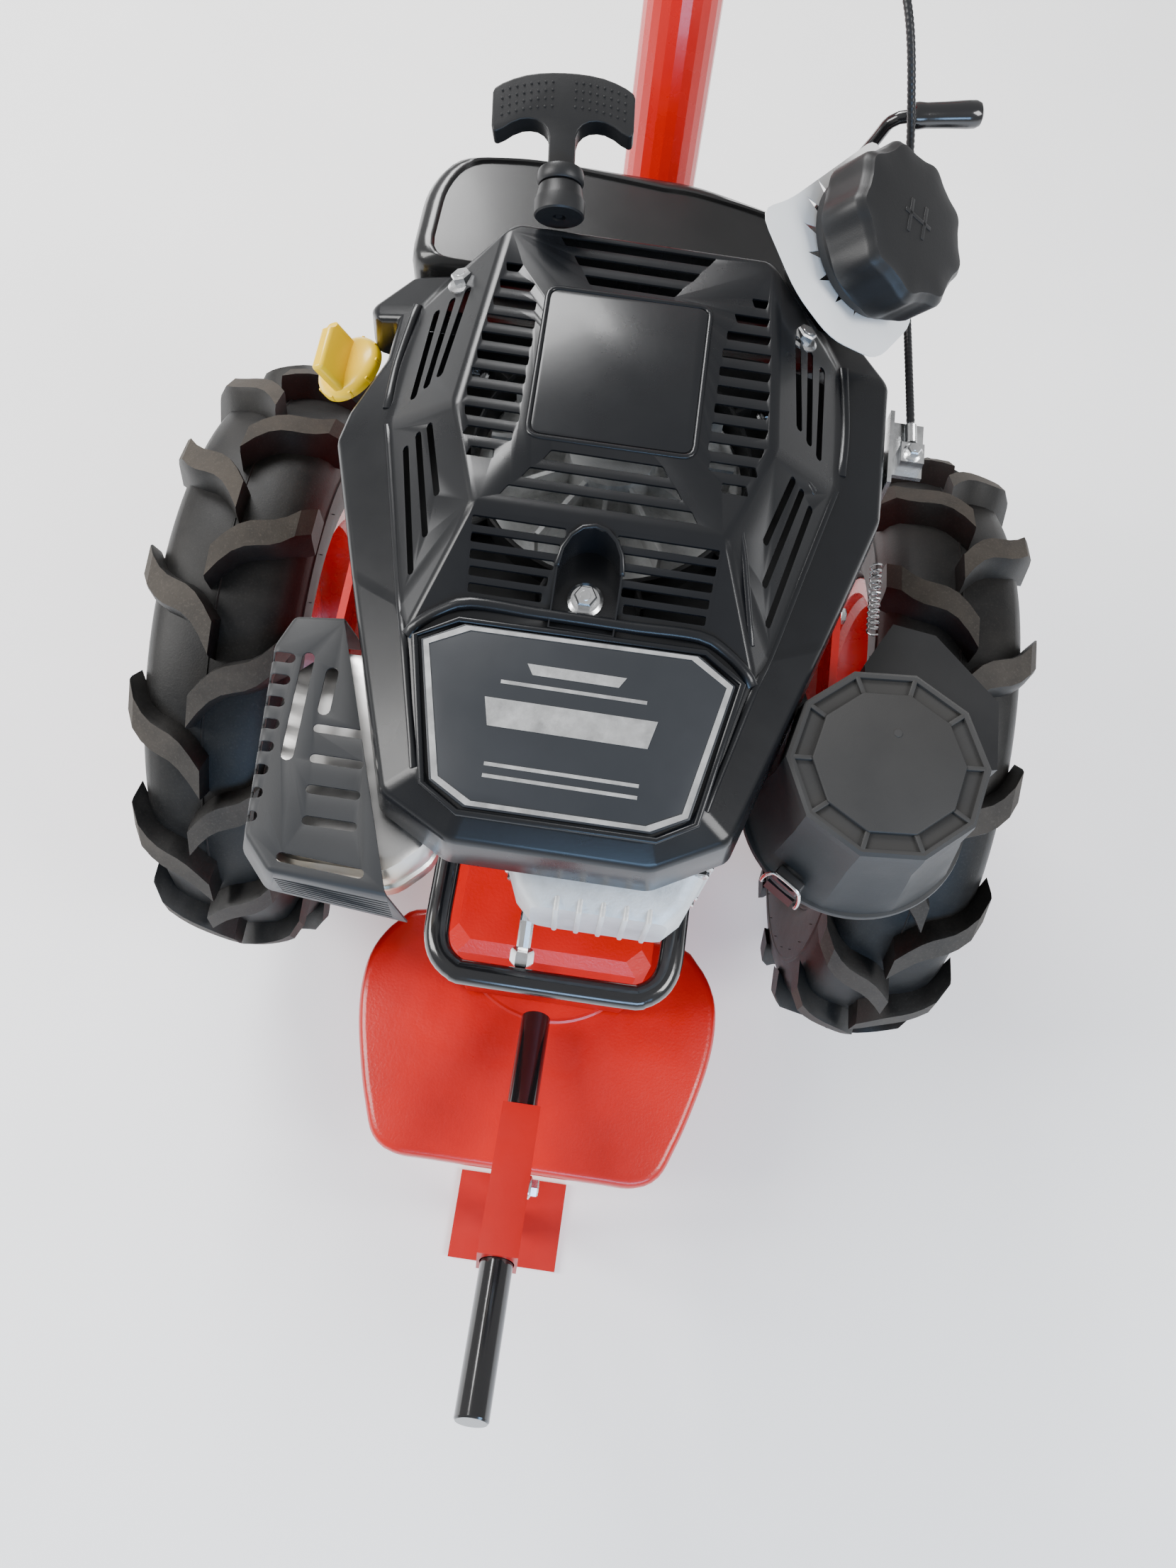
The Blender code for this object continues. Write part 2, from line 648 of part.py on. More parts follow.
def starter():
    """The rope guide on the shroud's rear edge and the T handle that sits on it."""
    guide = [(0.0130, 0.020), (0.0155, 0.012), (0.0155, 0.0), (0.0045, 0.0), (0.0045, 0.020)]
    guide = add("rope_guide", turned_mesh(guide, ROPE_EXIT, PULL_AXIS, 16, ring=True), BLACK)
    base = ROPE_EXIT + PULL_AXIS * 0.0206
    half = [(0.0085, 0.004), (0.0085, 0.027), (0.0110, 0.033), (0.0170, 0.0375), (0.0260, 0.0380)]
    half += [(0.0360, 0.0340), (0.0430, 0.0285), (0.0460, 0.0310), (0.0455, 0.0570), (0.0400, 0.0605)]
    half += [(0.0250, 0.0655), (0.0100, 0.0683)]
    across = Vector((1, 0, 0))
    across = (across - PULL_AXIS * across.dot(PULL_AXIS)).normalized()
    facing = across.cross(PULL_AXIS)
    place = Matrix.Translation(base) @ Matrix((across, PULL_AXIS, facing)).transposed().to_4x4()
    tee = prism_mesh(half + [(-x, y) for x, y in half[::-1]], place, -0.0085, 0.0085)
    handle = add("recoil_handle", tee, SATIN)
    foot = turned_mesh([(0, 0.0095), (0.0150, 0.0095), (0.0150, 0.0), (0, 0.0)], base, PULL_AXIS, 16)
    boolean(handle, [foot], "UNION")
    rope = rod_mesh(ROPE_EXIT + PULL_AXIS * 0.001, base - PULL_AXIS * GAP, 0.0024, 8)
    return guide, handle, add("starter_rope", rope, GRIP)


def exhaust():
    body = loft_mesh(
        [
            octagon(0.056, 0.072, 0.022, 0.603, (-0.133, -0.226)),
            octagon(0.058, 0.075, 0.024, 0.612, (-0.133, -0.226)),
            octagon(0.058, 0.075, 0.024, 0.655, (-0.133, -0.226)),
            octagon(0.054, 0.070, 0.024, 0.6640, (-0.133, -0.226)),
        ]
    )
    pipe = rod_mesh((-0.100, -0.228, 0.632), (-0.0268, -0.228, 0.622), 0.0120, 12)
    muffler = boolean(add("muffler", body, STEEL), [pipe], "UNION")
    top = [(-0.156, -0.140), (-0.187, -0.144), (-0.195, -0.166), (-0.185, -0.292), (-0.166, -0.313)]
    top.append((-0.094, -0.317))
    low = [(-0.150, -0.134), (-0.197, -0.138), (-0.2085, -0.164), (-0.199, -0.289), (-0.178, -0.312)]
    low.append((-0.085, -0.320))

    def build(work):
        upper = [work.verts.new((x, y, 0.686 - 0.02 * (-0.14 - y))) for x, y in top]
        lower = [work.verts.new((x, y, 0.630)) for x, y in low]
        work.faces.new(upper)
        for i in range(len(top) - 1):
            work.faces.new((upper[i], lower[i], lower[i + 1], upper[i + 1]))

    guard = shell(add("muffler_guard", mesh_from("guard", build), BLACK), 0.0015)
    slots = []
    for i in range(8):
        y = -0.172 - i * 0.0155
        slots.append(box_mesh((-0.220, y - 0.007, 0.6655), (-0.176, y, 0.700)))
    slots.append(box_mesh((-0.168, -0.240, 0.60), (-0.158, -0.170, 0.70)))
    slots.append(box_mesh((-0.136, -0.290, 0.60), (-0.126, -0.215, 0.70)))
    boolean(guard, slots, "DIFFERENCE")
    return [muffler, guard]


def air_intake():
    """The air cleaner's hollow cover on its base; the base has an inlet box and an elbow to the carburettor."""
    up = Vector((0, 0, 1))
    cover = [(0, 0.700), (0.046, 0.700), (0.050, 0.697), (0.060, 0.699), (0.064, 0.694), (0.0635, 0.672)]
    cover += [(0.0660, 0.664), (0.0755, 0.612), (0.0770, 0.606), (0.0735, 0.606), (0.0720, 0.613)]
    cover += [(0.0625, 0.664), (0.0600, 0.690), (0, 0.693)]
    cover = add("air_cleaner_cover", turned_mesh(cover, CLEANER, up, 20), SATIN)

    disc = [(0, 0.6055), (0.0710, 0.6055), (0.0730, 0.600), (0.0600, 0.588), (0, 0.585)]
    base = add("air_cleaner_base", turned_mesh(disc, CLEANER, up, 20), SATIN)
    outline = [(0.200, -0.190), (0.191, -0.102), (0.209, -0.068), (0.239, -0.072), (0.284, -0.116)]
    outline.append((0.284, -0.165))
    inlet = add("inlet", prism_mesh(outline, Matrix.Identity(4), 0.592, 0.655), SATIN)
    boolean(inlet, [rod_mesh(CLEANER + up * 0.6055, CLEANER + up * 0.7, 0.0785, 32)], "DIFFERENCE")
    ORDER.remove(inlet)
    box = inlet.data.copy()
    bpy.data.objects.remove(inlet, do_unlink=True)
    along = up.cross(LATCH_OUT)
    corners = [CLEANER + LATCH_OUT * r + along * a for r, a in ((0.060, -0.0112), (0.0788, -0.0112))]
    corners += [CLEANER + LATCH_OUT * r + along * a for r, a in ((0.0788, 0.0112), (0.060, 0.0112))]
    lug = prism_mesh([(p.x, p.y) for p in corners], Matrix.Identity(4), 0.590, 0.6045)
    bend = [(0.182, -0.165, 0.590), (0.166, -0.134, 0.582), (0.156, -0.110, 0.590)]
    bend += [(0.1495, -0.0995, 0.603), (0.1425, -0.0990, 0.604)]
    elbow = tube_mesh(smooth_path(bend, 0.02), 0.012, 2)
    boolean(base, [box, lug, elbow], "UNION")
    carb = add("carburettor", box_mesh((0.1095, -0.128, 0.585), (0.1390, -0.070, 0.655), 0.004), CAST)

    hinge = LATCH_HINGE
    half = [hinge + along * 0.0128, hinge + LATCH_OUT * 0.0030 + along * 0.0145 + up * 0.002]
    half.append(hinge + LATCH_OUT * 0.0055 + along * 0.0145 + up * 0.018)
    half.append(hinge + LATCH_OUT * 0.0035 + along * 0.010 + up * 0.037)
    path = half + [p - along * 2 * (p - hinge).dot(along) for p in half[::-1]]
    latch = add("air_cleaner_latch", tube_mesh(path, 0.0015, 2), ZINC)
    return [cover, base, carb], [latch]


def fuel_system():
    """The tank with its filler neck, hollow and open at the neck."""
    outline = [
        (-0.166, 0.134), (0.150, 0.134), (0.168, 0.160), (0.160, 0.205), (0.084, 0.231), (0.030, 0.247),
        (-0.100, 0.247), (-0.152, 0.237), (-0.166, 0.205),
    ]  # fmt: skip
    tank = add("fuel_tank", prism_mesh(outline, Matrix.Identity(4), TANK_LOW, TANK_TOP), SATIN)
    neck_foot = CAP_TOP - CAP_AXIS * 0.128
    neck_top = CAP_TOP - CAP_AXIS * 0.012
    boolean(tank, [rod_mesh(neck_foot, neck_top, NECK_R, 24)], "UNION")
    inner = [
        (-0.162, 0.138), (0.146, 0.138), (0.162, 0.162), (0.155, 0.201), (0.082, 0.227), (0.029, 0.243),
        (-0.099, 0.243), (-0.150, 0.233), (-0.162, 0.203),
    ]  # fmt: skip
    hollow = prism_mesh(inner, Matrix.Identity(4), TANK_LOW + 0.004, TANK_TOP - 0.004)
    throat = rod_mesh(neck_foot + CAP_AXIS * 0.012, neck_top + CAP_AXIS * 0.01, NECK_R - 0.005, 24)
    boolean(tank, [hollow, throat], "DIFFERENCE")
    cap = [(0, 0.0), (0.047, 0.0), (CAP_R, -0.007), (CAP_R, -0.035), (0.047, -0.037), (0.047, -0.011)]
    cap.append((0, -0.011))
    cap = add("fuel_cap", turned_mesh(cap, CAP_TOP, CAP_AXIS, 24), SATIN)
    inside = NECK_R + 0.001
    collar = [(0.044, -0.039), (0.047, -0.042), (0.047, -0.048), (inside, -0.048), (inside, -0.039)]
    collar = add("tank_collar", turned_mesh(collar, CAP_TOP, CAP_AXIS, 24, ring=True), SATIN)
    return tank, cap, collar


def oil_filler():
    path = [(-0.1040, 0.070, 0.612), (-0.150, 0.070, 0.613), (-0.184, 0.070, 0.632), OIL_MOUTH]
    path = smooth_path(path, 0.012)
    tube = add("oil_filler_tube", tube_mesh(path, 0.0125, 2), SATIN)
    cap = [(0, 0.016), (0.016, 0.0155), (0.026, 0.010), (0.0265, 0.0035), (0, 0.0035)]
    cap = add("oil_cap", turned_mesh(cap, OIL_MOUTH, OIL_AXIS, 20), YELLOW)
    tab = box_mesh((-0.004, -0.024, 0.008), (0.004, 0.020, 0.040), 0.002)
    tab.transform(Matrix.Translation(OIL_MOUTH) @ towards(OIL_AXIS))
    return tube, boolean(cap, [tab], "UNION")


def bumper():
    half = [(0.080, -0.145, 0.580), (0.083, -0.190, 0.565), (0.084, -0.260, 0.549), (0.084, -0.295, 0.547)]
    turn = [(0.081, -0.315, 0.546), (0.070, -0.327, 0.546), (0.052, -0.331, 0.546)]
    middle = 0.009
    path = [(middle + x, y, z) for x, y, z in half + turn]
    path += [(middle - x, y, z) for x, y, z in (half + turn)[::-1]]
    return add("bumper", tube_mesh(path, 0.0090, 3), BLACK)


def small_engine_parts():
    path = [(-0.1312, 0.5640), (-0.200, 0.5620), (-0.245, 0.5585), (-0.290, 0.5560), (-0.314, 0.5410)]
    path = smooth_path([(-0.012, y, z) for y, z in path], 0.02)
    drain = add("oil_drain_tube", tube_mesh(path, 0.0050, 2), ZINC)
    plate = box_mesh((0.1895, 0.022, 0.612), (0.1925, 0.082, 0.690))
    wing = box_mesh((0.1900, 0.030, 0.6840), (0.2140, 0.074, 0.6875))
    foot = box_mesh((0.1010, 0.022, 0.640), (0.1910, 0.082, 0.6440))
    clamp = box_mesh((0.1960, 0.034, 0.6860), (0.2120, 0.050, 0.6990))
    bracket = boolean(add("control_bracket", plate, ZINC), [wing, foot, clamp], "UNION")
    return [drain, bracket]


# ---------------------------------------------------------------- handlebar and controls
def handlebar_head():
    """The swivel head on the column, with two ears for the tilt pin."""
    top = COLUMN_FOOT + COLUMN_AXIS * (COLUMN_LENGTH + GAP)
    disc = add("swivel_head", rod_mesh(top, top + COLUMN_AXIS * 0.018, 0.040, 24), RED)
    ears = []
    for side in (-1, 1):
        low_x, high_x = sorted((side * 0.0195, side * 0.0265))
        ears.append(box_mesh((low_x, 0.400, 0.800), (high_x, 0.455, 0.878), 0.001))
    boolean(disc, ears, "UNION")
    reach = Vector((0.1, 0, 0))
    boolean(disc, [rod_mesh(TILT_PIVOT - reach, TILT_PIVOT + reach, 0.0090, 20)], "DIFFERENCE")
    pin = turned_mesh(
        [(0, 0.034), (0.008, 0.034), (0.008, -0.028), (0.013, -0.028), (0.013, -0.036), (0, -0.036)],
        TILT_PIVOT,
        (1, 0, 0),
        20,
    )
    knob = turned_mesh(
        [(0, 0.062), (0.019, 0.060), (0.024, 0.052), (0.022, 0.042), (0.012, 0.0300), (0, 0.0300)],
        TILT_PIVOT,
        (1, 0, 0),
        10,
    )
    return [disc, boolean(add("tilt_knob", knob, SATIN), [pin], "UNION")]


def handlebar_path(until):
    half = [(0.0, 0.490, 0.872), (0.045, 0.505, 0.876), (0.120, 0.590, 0.896), (0.200, 0.710, 0.925)]
    half += [(0.264, 0.850, 0.960)]
    half += [(GRIP_X, y, 0.990 + (y - 1.0) * 0.08) for y in (0.980, 1.020, until)]
    path = smooth_path(half, 0.045)
    return [Vector((-p.x, p.y, p.z)) for p in path[:0:-1]] + path


def handlebar():
    tube = add("handlebar", tube_mesh(handlebar_path(GRIP_TO - 0.008), HANDLE_R, 3), RED)
    lug = box_mesh((-0.018, 0.4150, 0.838), (0.018, 0.4950, 0.880), 0.003)
    boolean(tube, [lug], "UNION")
    reach = Vector((0.1, 0, 0))
    boolean(tube, [rod_mesh(TILT_PIVOT - reach, TILT_PIVOT + reach, 0.0090, 20)], "DIFFERENCE")
    made = [tube]
    slope = Vector((0, 1, 0.08)).normalized()
    for word, side in (("left", -1), ("right", 1)):
        start = Vector((side * GRIP_X, GRIP_FROM, 0.990 + (GRIP_FROM - 1.0) * 0.08))
        length = (GRIP_TO - GRIP_FROM) / slope.y
        profile = [(0, length), (0.014, length), (0.0185, length - 0.006), (0.0165, 0.010), (0.021, 0.004)]
        profile += [(0.021, 0.0), (0.0138, 0.0), (0.0138, length - 0.005), (0, length - 0.005)]
        made.append(add(f"grip_{word}", turned_mesh(profile, start, slope, 16), GRIP))
    mount = box_mesh((-GRIP_X - 0.012, 0.955, 0.948), (-GRIP_X + 0.012, 0.990, 0.9660), 0.002)
    made.append(add("clutch_lever_mount", mount, SATIN))
    puck = rod_mesh((GRIP_X, 0.965, 1.0030), (GRIP_X, 0.965, 1.0200), 0.019, 20)
    made.append(add("throttle_housing", puck, SATIN))
    return made


def levers():
    path = [(-GRIP_X, y, z) for y, z in ((0.9945, 0.957), (1.030, 0.950), (1.080, 0.948), (1.150, 0.957))]
    path = smooth_path(path, 0.02)
    clutch = add("clutch_lever", tube_mesh(path, 0.0055, 2), BLACK)
    outline = [(0.014, -0.014), (0.014, 0.010), (0.006, 0.040), (0.006, 0.058)]
    outline += [(-x, y) for x, y in outline[::-1]]
    throttle = prism_mesh(outline, Matrix.Translation((GRIP_X, 0.965, 0)), 1.0204, 1.0244)
    throttle = add("throttle_lever", throttle, SATIN)
    bends = [(0.075, 0.175, 0.4215), (0.080, 0.200, 0.470), (0.098, 0.262, 0.590), (0.140, 0.286, 0.690)]
    bends += [(0.1565, 0.290, 0.729), (0.163, 0.2905, 0.744), (0.176, 0.2915, 0.750), (0.211, 0.2985, 0.751)]
    rod = smooth_path(bends, 0.022)
    rod = add("gear_lever", tube_mesh(rod, 0.0045, 2), BLACK)
    knob = [(0, 0.051), (0.007, 0.050), (0.0095, 0.044), (0.0085, 0.006), (0.0095, 0.0), (0.0064, 0.0)]
    knob += [(0.0064, 0.044), (0, 0.044)]
    knob = add("gear_lever_grip", turned_mesh(knob, (0.176, 0.2915, 0.7500), (1, 0.200, 0.029), 12), GRIP)
    return clutch, throttle, [rod, knob]


def cables():
    """The throttle cable in three lengths: on the engine, across the swivel, and along the handlebar."""
    engine_run = [(0.2035, 0.0515, 0.694), (0.2020, 0.080, 0.694), (0.1980, 0.148, 0.691), (0.1930, 0.200, 0.695)]
    engine_run += [(0.1805, 0.232, 0.735), (0.1665, 0.252, 0.785), (0.1500, 0.285, 0.828)]
    engine_run.append((0.1280, 0.335, 0.850))
    engine_run = smooth_path(engine_run, 0.018)
    loop = [(0.1276, 0.3359, 0.8504), (0.105, 0.395, 0.872), (0.088, 0.455, 0.889), (0.100, 0.530, 0.9060)]
    free_run = smooth_path(loop, 0.018)
    rail = [(0.1012, 0.5314, 0.9068), (0.158, 0.610, 0.9255), (0.222, 0.712, 0.950), (0.272, 0.842, 0.981)]
    rail += [(0.284, 0.920, 0.9990), (0.2850, 0.9440, 1.0090)]
    rail = smooth_path(rail, 0.018)
    return [
        add("throttle_cable_engine", tube_mesh(engine_run, 0.0030, 2), GRIP),
        add("throttle_cable_loop", tube_mesh(free_run, 0.0030, 2), GRIP),
        add("throttle_cable_bar", tube_mesh(rail, 0.0030, 2), GRIP),
    ]


# ---------------------------------------------------------------- assembly
def pivot(name, place):
    """An empty on a joint's axis."""
    empty = bpy.data.objects.new(name, None)
    PARTS.objects.link(empty)
    empty.location = place
    bpy.context.view_layer.update()
    return empty


def hang(objects, parent):
    """Parents the objects without moving them."""
    for obj in objects:
        obj.parent = parent
        obj.matrix_parent_inverse = parent.matrix_world.inverted()


def stand_on_origin(root):
    """Moves the whole object so that the middle of its box is over the origin and it stands on Z = 0."""
    bpy.context.view_layer.update()
    corners = np.array([obj.matrix_world @ vert.co for obj in ORDER for vert in obj.data.vertices])
    low, high = corners.min(axis=0), corners.max(axis=0)
    root.location = (-(low[0] + high[0]) / 2, -(low[1] + high[1]) / 2, -low[2])
    return root.location


def main():
    root = pivot("tiller_frame", (0, 0, 0))
    wheels = pivot("axle_axis", (0, 0, AXLE_Z))
    counter = pivot("pinion_axis", (0, 0, PINION_Z))
    crank = pivot("crank_axis", (0, 0, 0.6))
    pull = pivot("pull_axis", ROPE_EXIT)
    fuel = pivot("fuel_cap_axis", CAP_TOP)
    oil = pivot("oil_cap_axis", OIL_MOUTH)
    latch_hinge = pivot("latch_axis", LATCH_HINGE)
    slider = pivot("prop_axis", BAR_START)
    shift = pivot("gear_lever_axis", (0.075, 0.175, 0.4230))
    hitch_axis = pivot("hitch_pin_axis", (0, 0.330, 0.300))
    swivel = pivot("swivel_axis", COLUMN_FOOT + COLUMN_AXIS * COLUMN_LENGTH)
    tilt = pivot("tilt_axis", TILT_PIVOT)
    clutch_hinge = pivot("clutch_lever_axis", (-GRIP_X, 0.9945, 0.957))
    throttle_hinge = pivot("throttle_lever_axis", (GRIP_X, 0.965, 1.020))
    hang([wheels, counter, crank, pull, fuel, oil, latch_hinge, slider, shift, hitch_axis, swivel], root)
    hang([tilt], swivel)
    hang([clutch_hinge, throttle_hinge], tilt)

    hang(axle_set(), wheels)
    hang([pinion()], counter)
    hang(chassis(), root)
    hang(prop(), slider)
    fixed, sliding = rear_fittings()
    hang(fixed, root)
    hang(sliding, hitch_axis)

    hang([shroud(), decal_plate()], root)
    hang(engine_block(), root)
    hang(crank_set(), crank)
    guide, handle, rope = starter()
    hang([guide], root)
    hang([handle, rope], pull)
    hang(exhaust(), root)
    fixed, moving = air_intake()
    hang(fixed, root)
    hang(moving, latch_hinge)
    tank, cap, collar = fuel_system()
    hang([tank, collar], root)
    hang([cap], fuel)
    tube, cap = oil_filler()
    hang([tube], root)
    hang([cap], oil)
    hang([bumper()], root)
    hang(small_engine_parts(), root)

    hang(handlebar_head(), swivel)
    hang(handlebar(), tilt)
    clutch, throttle, gear_lever = levers()
    hang([clutch], clutch_hinge)
    hang([throttle], throttle_hinge)
    hang(gear_lever, shift)
    engine_run, free_run, bar_run = cables()
    hang([engine_run], root)
    hang([free_run], swivel)
    hang([bar_run], tilt)
    print("frame moved by", tuple(round(v, 6) for v in stand_on_origin(root)))


main()
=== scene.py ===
"""Looks for the two-wheel walking tractor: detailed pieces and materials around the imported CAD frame.

Shapes are written in the axle frame: metres, X to the air cleaner, Y to the operator with Y = 0 on the wheel
axle, Z up from the ground. place() moves each piece into the frame of the CAD.
"""

import json
import math

import bmesh
import bpy
from mathutils import Matrix, Vector

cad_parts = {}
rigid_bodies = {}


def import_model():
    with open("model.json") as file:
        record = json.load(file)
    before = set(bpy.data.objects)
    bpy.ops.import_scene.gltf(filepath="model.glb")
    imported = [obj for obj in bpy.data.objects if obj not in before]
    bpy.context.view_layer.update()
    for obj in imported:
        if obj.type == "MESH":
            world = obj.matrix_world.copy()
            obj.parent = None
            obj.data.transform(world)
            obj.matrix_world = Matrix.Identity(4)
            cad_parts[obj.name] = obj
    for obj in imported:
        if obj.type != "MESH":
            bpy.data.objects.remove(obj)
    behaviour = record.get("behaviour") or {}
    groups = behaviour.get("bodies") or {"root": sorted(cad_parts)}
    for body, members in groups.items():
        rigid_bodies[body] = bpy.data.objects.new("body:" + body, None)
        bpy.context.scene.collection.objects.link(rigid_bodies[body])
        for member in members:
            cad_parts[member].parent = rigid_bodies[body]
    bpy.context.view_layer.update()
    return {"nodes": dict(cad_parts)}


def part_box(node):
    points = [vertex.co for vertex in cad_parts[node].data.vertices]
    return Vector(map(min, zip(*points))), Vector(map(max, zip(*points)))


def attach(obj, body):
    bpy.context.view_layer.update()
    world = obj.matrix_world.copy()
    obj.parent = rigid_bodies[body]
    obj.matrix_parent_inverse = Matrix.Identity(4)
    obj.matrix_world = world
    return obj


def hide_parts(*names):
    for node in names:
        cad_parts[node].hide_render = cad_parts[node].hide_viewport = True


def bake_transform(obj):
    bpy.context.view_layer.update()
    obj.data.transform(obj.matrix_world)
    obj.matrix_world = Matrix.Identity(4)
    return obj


for startup_object in list(bpy.data.objects):
    bpy.data.objects.remove(startup_object, do_unlink=True)

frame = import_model()

# ---------------------------------------------------------------- driving dimensions
UP = Vector((0, 0, 1))
ACROSS = Vector((1, 0, 0))
GEAR_LOW, GEAR_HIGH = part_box("final_gear")
AXLE_Y = (GEAR_LOW.y + GEAR_HIGH.y) / 2
AXLE_Z = (GEAR_LOW.z + GEAR_HIGH.z) / 2
TYRE_LOW, TYRE_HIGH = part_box("tyre_right")
TRACK_HALF = (TYRE_LOW.x + TYRE_HIGH.x) / 2
TYRE_HALF = (TYRE_HIGH.x - TYRE_LOW.x) / 2
TYRE_R = (TYRE_HIGH.z - TYRE_LOW.z) / 2
CARCASS_R = 0.2625
LUGS_PER_SIDE = 15

PLATEAU_Z = 0.765
SHEET = 0.0016
CLEANER = Vector((0.2, -0.19, 0))
LATCH_TURN = math.radians(236)
LATCH_OUT = Vector((math.cos(LATCH_TURN), math.sin(LATCH_TURN), 0))
CAP_AXIS = Vector((0.592, -0.154, 0.791)).normalized()
CAP_TOP = Vector((0.1755, 0.155, 0.787))
OIL_AXIS = Vector((-0.5, 0.0, 0.866)).normalized()
OIL_MOUTH = Vector((-0.196, 0.07, 0.656))
FAN_WELL_R = 0.0925
PLATE_BACK_Y, PLATE_BACK_Z = -0.143, 0.7385
PLATE_FRONT_Y, PLATE_FRONT_Z = -0.2685, 0.718
PULL_AXIS = Vector((-0.1, 0.93, 0.36)).normalized()
ROPE_EXIT = Vector((-0.057, 0.124, 0.7755))
GRIP_X = 0.285
GRIP_FROM = 1.03
GRIP_TO = 1.165
GRIP_RISE = 0.08
GRIP_RIBS = 16
BAR_START = Vector((0, -0.2925, 0.2103))
BAR_TIP = Vector((0, -0.638, 0.357))
BAR_AXIS = (BAR_TIP - BAR_START).normalized()
BAR_R = 0.014


# ---------------------------------------------------------------- materials
class Graph:
    """Short calls for building one material's nodes."""

    def __init__(self, name, colour, roughness, metallic=0.0, specular=0.5):
        self.material = bpy.data.materials.new(name)
        self.material.use_nodes = True
        self.tree = self.material.node_tree
        self.shader = self.tree.nodes["Principled BSDF"]
        self.shader.inputs["Base Color"].default_value = (*colour, 1)
        self.shader.inputs["Roughness"].default_value = roughness
        self.shader.inputs["Metallic"].default_value = metallic
        self.shader.inputs["Specular IOR Level"].default_value = specular
        self.where = self.tree.nodes.new("ShaderNodeTexCoord").outputs["Object"]

    def add(self, kind, **values):
        node = self.tree.nodes.new(kind)
        for key, value in values.items():
            if key in node.inputs:
                node.inputs[key].default_value = value
            else:
                setattr(node, key, value)
        return node

    def link(self, output, target):
        self.tree.links.new(output, target)

    def noise(self, scale, detail=3.0, roughness=0.55, stretch=None):
        node = self.add("ShaderNodeTexNoise", Scale=scale, Detail=detail, Roughness=roughness)
        source = self.where
        if stretch:
            mapping = self.add("ShaderNodeMapping")
            mapping.inputs["Scale"].default_value = stretch
            self.link(self.where, mapping.inputs["Vector"])
            source = mapping.outputs["Vector"]
        self.link(source, node.inputs["Vector"])
        return node.outputs["Fac"]

    def ramp(self, source, low, high, start=0.35, stop=0.65):
        """A colour ramp between two colours, over this span of the source."""
        node = self.add("ShaderNodeValToRGB")
        node.color_ramp.elements[0].position = start
        node.color_ramp.elements[0].color = (*low, 1)
        node.color_ramp.elements[1].position = stop
        node.color_ramp.elements[1].color = (*high, 1)
        self.link(source, node.inputs["Fac"])
        return node.outputs["Color"]

    def mix(self, share, first, second):
        node = self.add("ShaderNodeMix", data_type="RGBA")
        self.link(share, node.inputs["Factor"])
        for output, socket in ((first, node.inputs[6]), (second, node.inputs[7])):
            if isinstance(output, tuple):
                socket.default_value = (*output, 1)
            else:
                self.link(output, socket)
        return node.outputs[2]

    def vary_roughness(self, source, low, high):
        node = self.add("ShaderNodeMapRange")
        node.inputs["To Min"].default_value = low
        node.inputs["To Max"].default_value = high
        self.link(source, node.inputs["Value"])
        self.link(node.outputs["Result"], self.shader.inputs["Roughness"])

    def bump(self, layers):
        """Adds height layers of (source, distance in metres, strength)."""
        normal = None
        for source, distance, strength in layers:
            node = self.add("ShaderNodeBump", Distance=distance, Strength=strength)
            self.link(source, node.inputs["Height"])
            if normal:
                self.link(normal, node.inputs["Normal"])
            normal = node.outputs["Normal"]
        self.link(normal, self.shader.inputs["Normal"])

    def edges(self, strength=1.0):
        """The convex edges, from the mesh itself: a mask for the painted highlight along them."""
        node = self.add("ShaderNodeNewGeometry")
        return self.ramp(node.outputs["Pointiness"], (0, 0, 0), (strength,) * 3, 0.505, 0.56)


def painted(name, colour, dark, roughness, peel, coat):
    """Sprayed enamel: orange peel, slight unevenness of tone and dust in the roughness."""
    graph = Graph(name, colour, roughness)
    tone = graph.ramp(graph.noise(9.0, 4.0), dark, colour, 0.3, 0.62)
    graph.link(tone, graph.shader.inputs["Base Color"])
    graph.shader.inputs["Coat Weight"].default_value = coat
    graph.shader.inputs["Coat Roughness"].default_value = 0.08
    graph.vary_roughness(graph.noise(35.0, 5.0), roughness * 0.75, roughness * 1.35)
    graph.bump([(graph.noise(420.0, 2.0), 0.00025, peel), (graph.noise(60.0, 2.0), 0.0004, peel * 0.5)])
    return graph.material


def moulded(name, colour, roughness, grain, coat=0.0, tint=None):
    """Moulded plastic or painted sheet: fine grain, soft patches in gloss, a painted highlight on the edges.
    """
    graph = Graph(name, colour, roughness, specular=0.32)
    light = tuple(min(1.0, c * 1.5 + 0.001) for c in (tint or colour))
    tone = graph.mix(graph.noise(14.0, 4.0), colour, light)
    # Painted highlight: the convex edges mixed towards a lighter colour.
    tone_with_edge_highlight = graph.mix(graph.edges(0.18), tone, tuple(min(1.0, c * 3 + 0.012) for c in colour))
    graph.link(tone_with_edge_highlight, graph.shader.inputs["Base Color"])
    graph.shader.inputs["Coat Weight"].default_value = coat
    graph.shader.inputs["Coat Roughness"].default_value = 0.12
    graph.vary_roughness(graph.noise(28.0, 5.0), roughness * 0.8, roughness * 1.25)
    graph.bump([(graph.noise(1400.0, 2.0), 0.00012, grain), (graph.noise(300.0, 3.0), 0.0002, grain * 0.5)])
    return graph.material


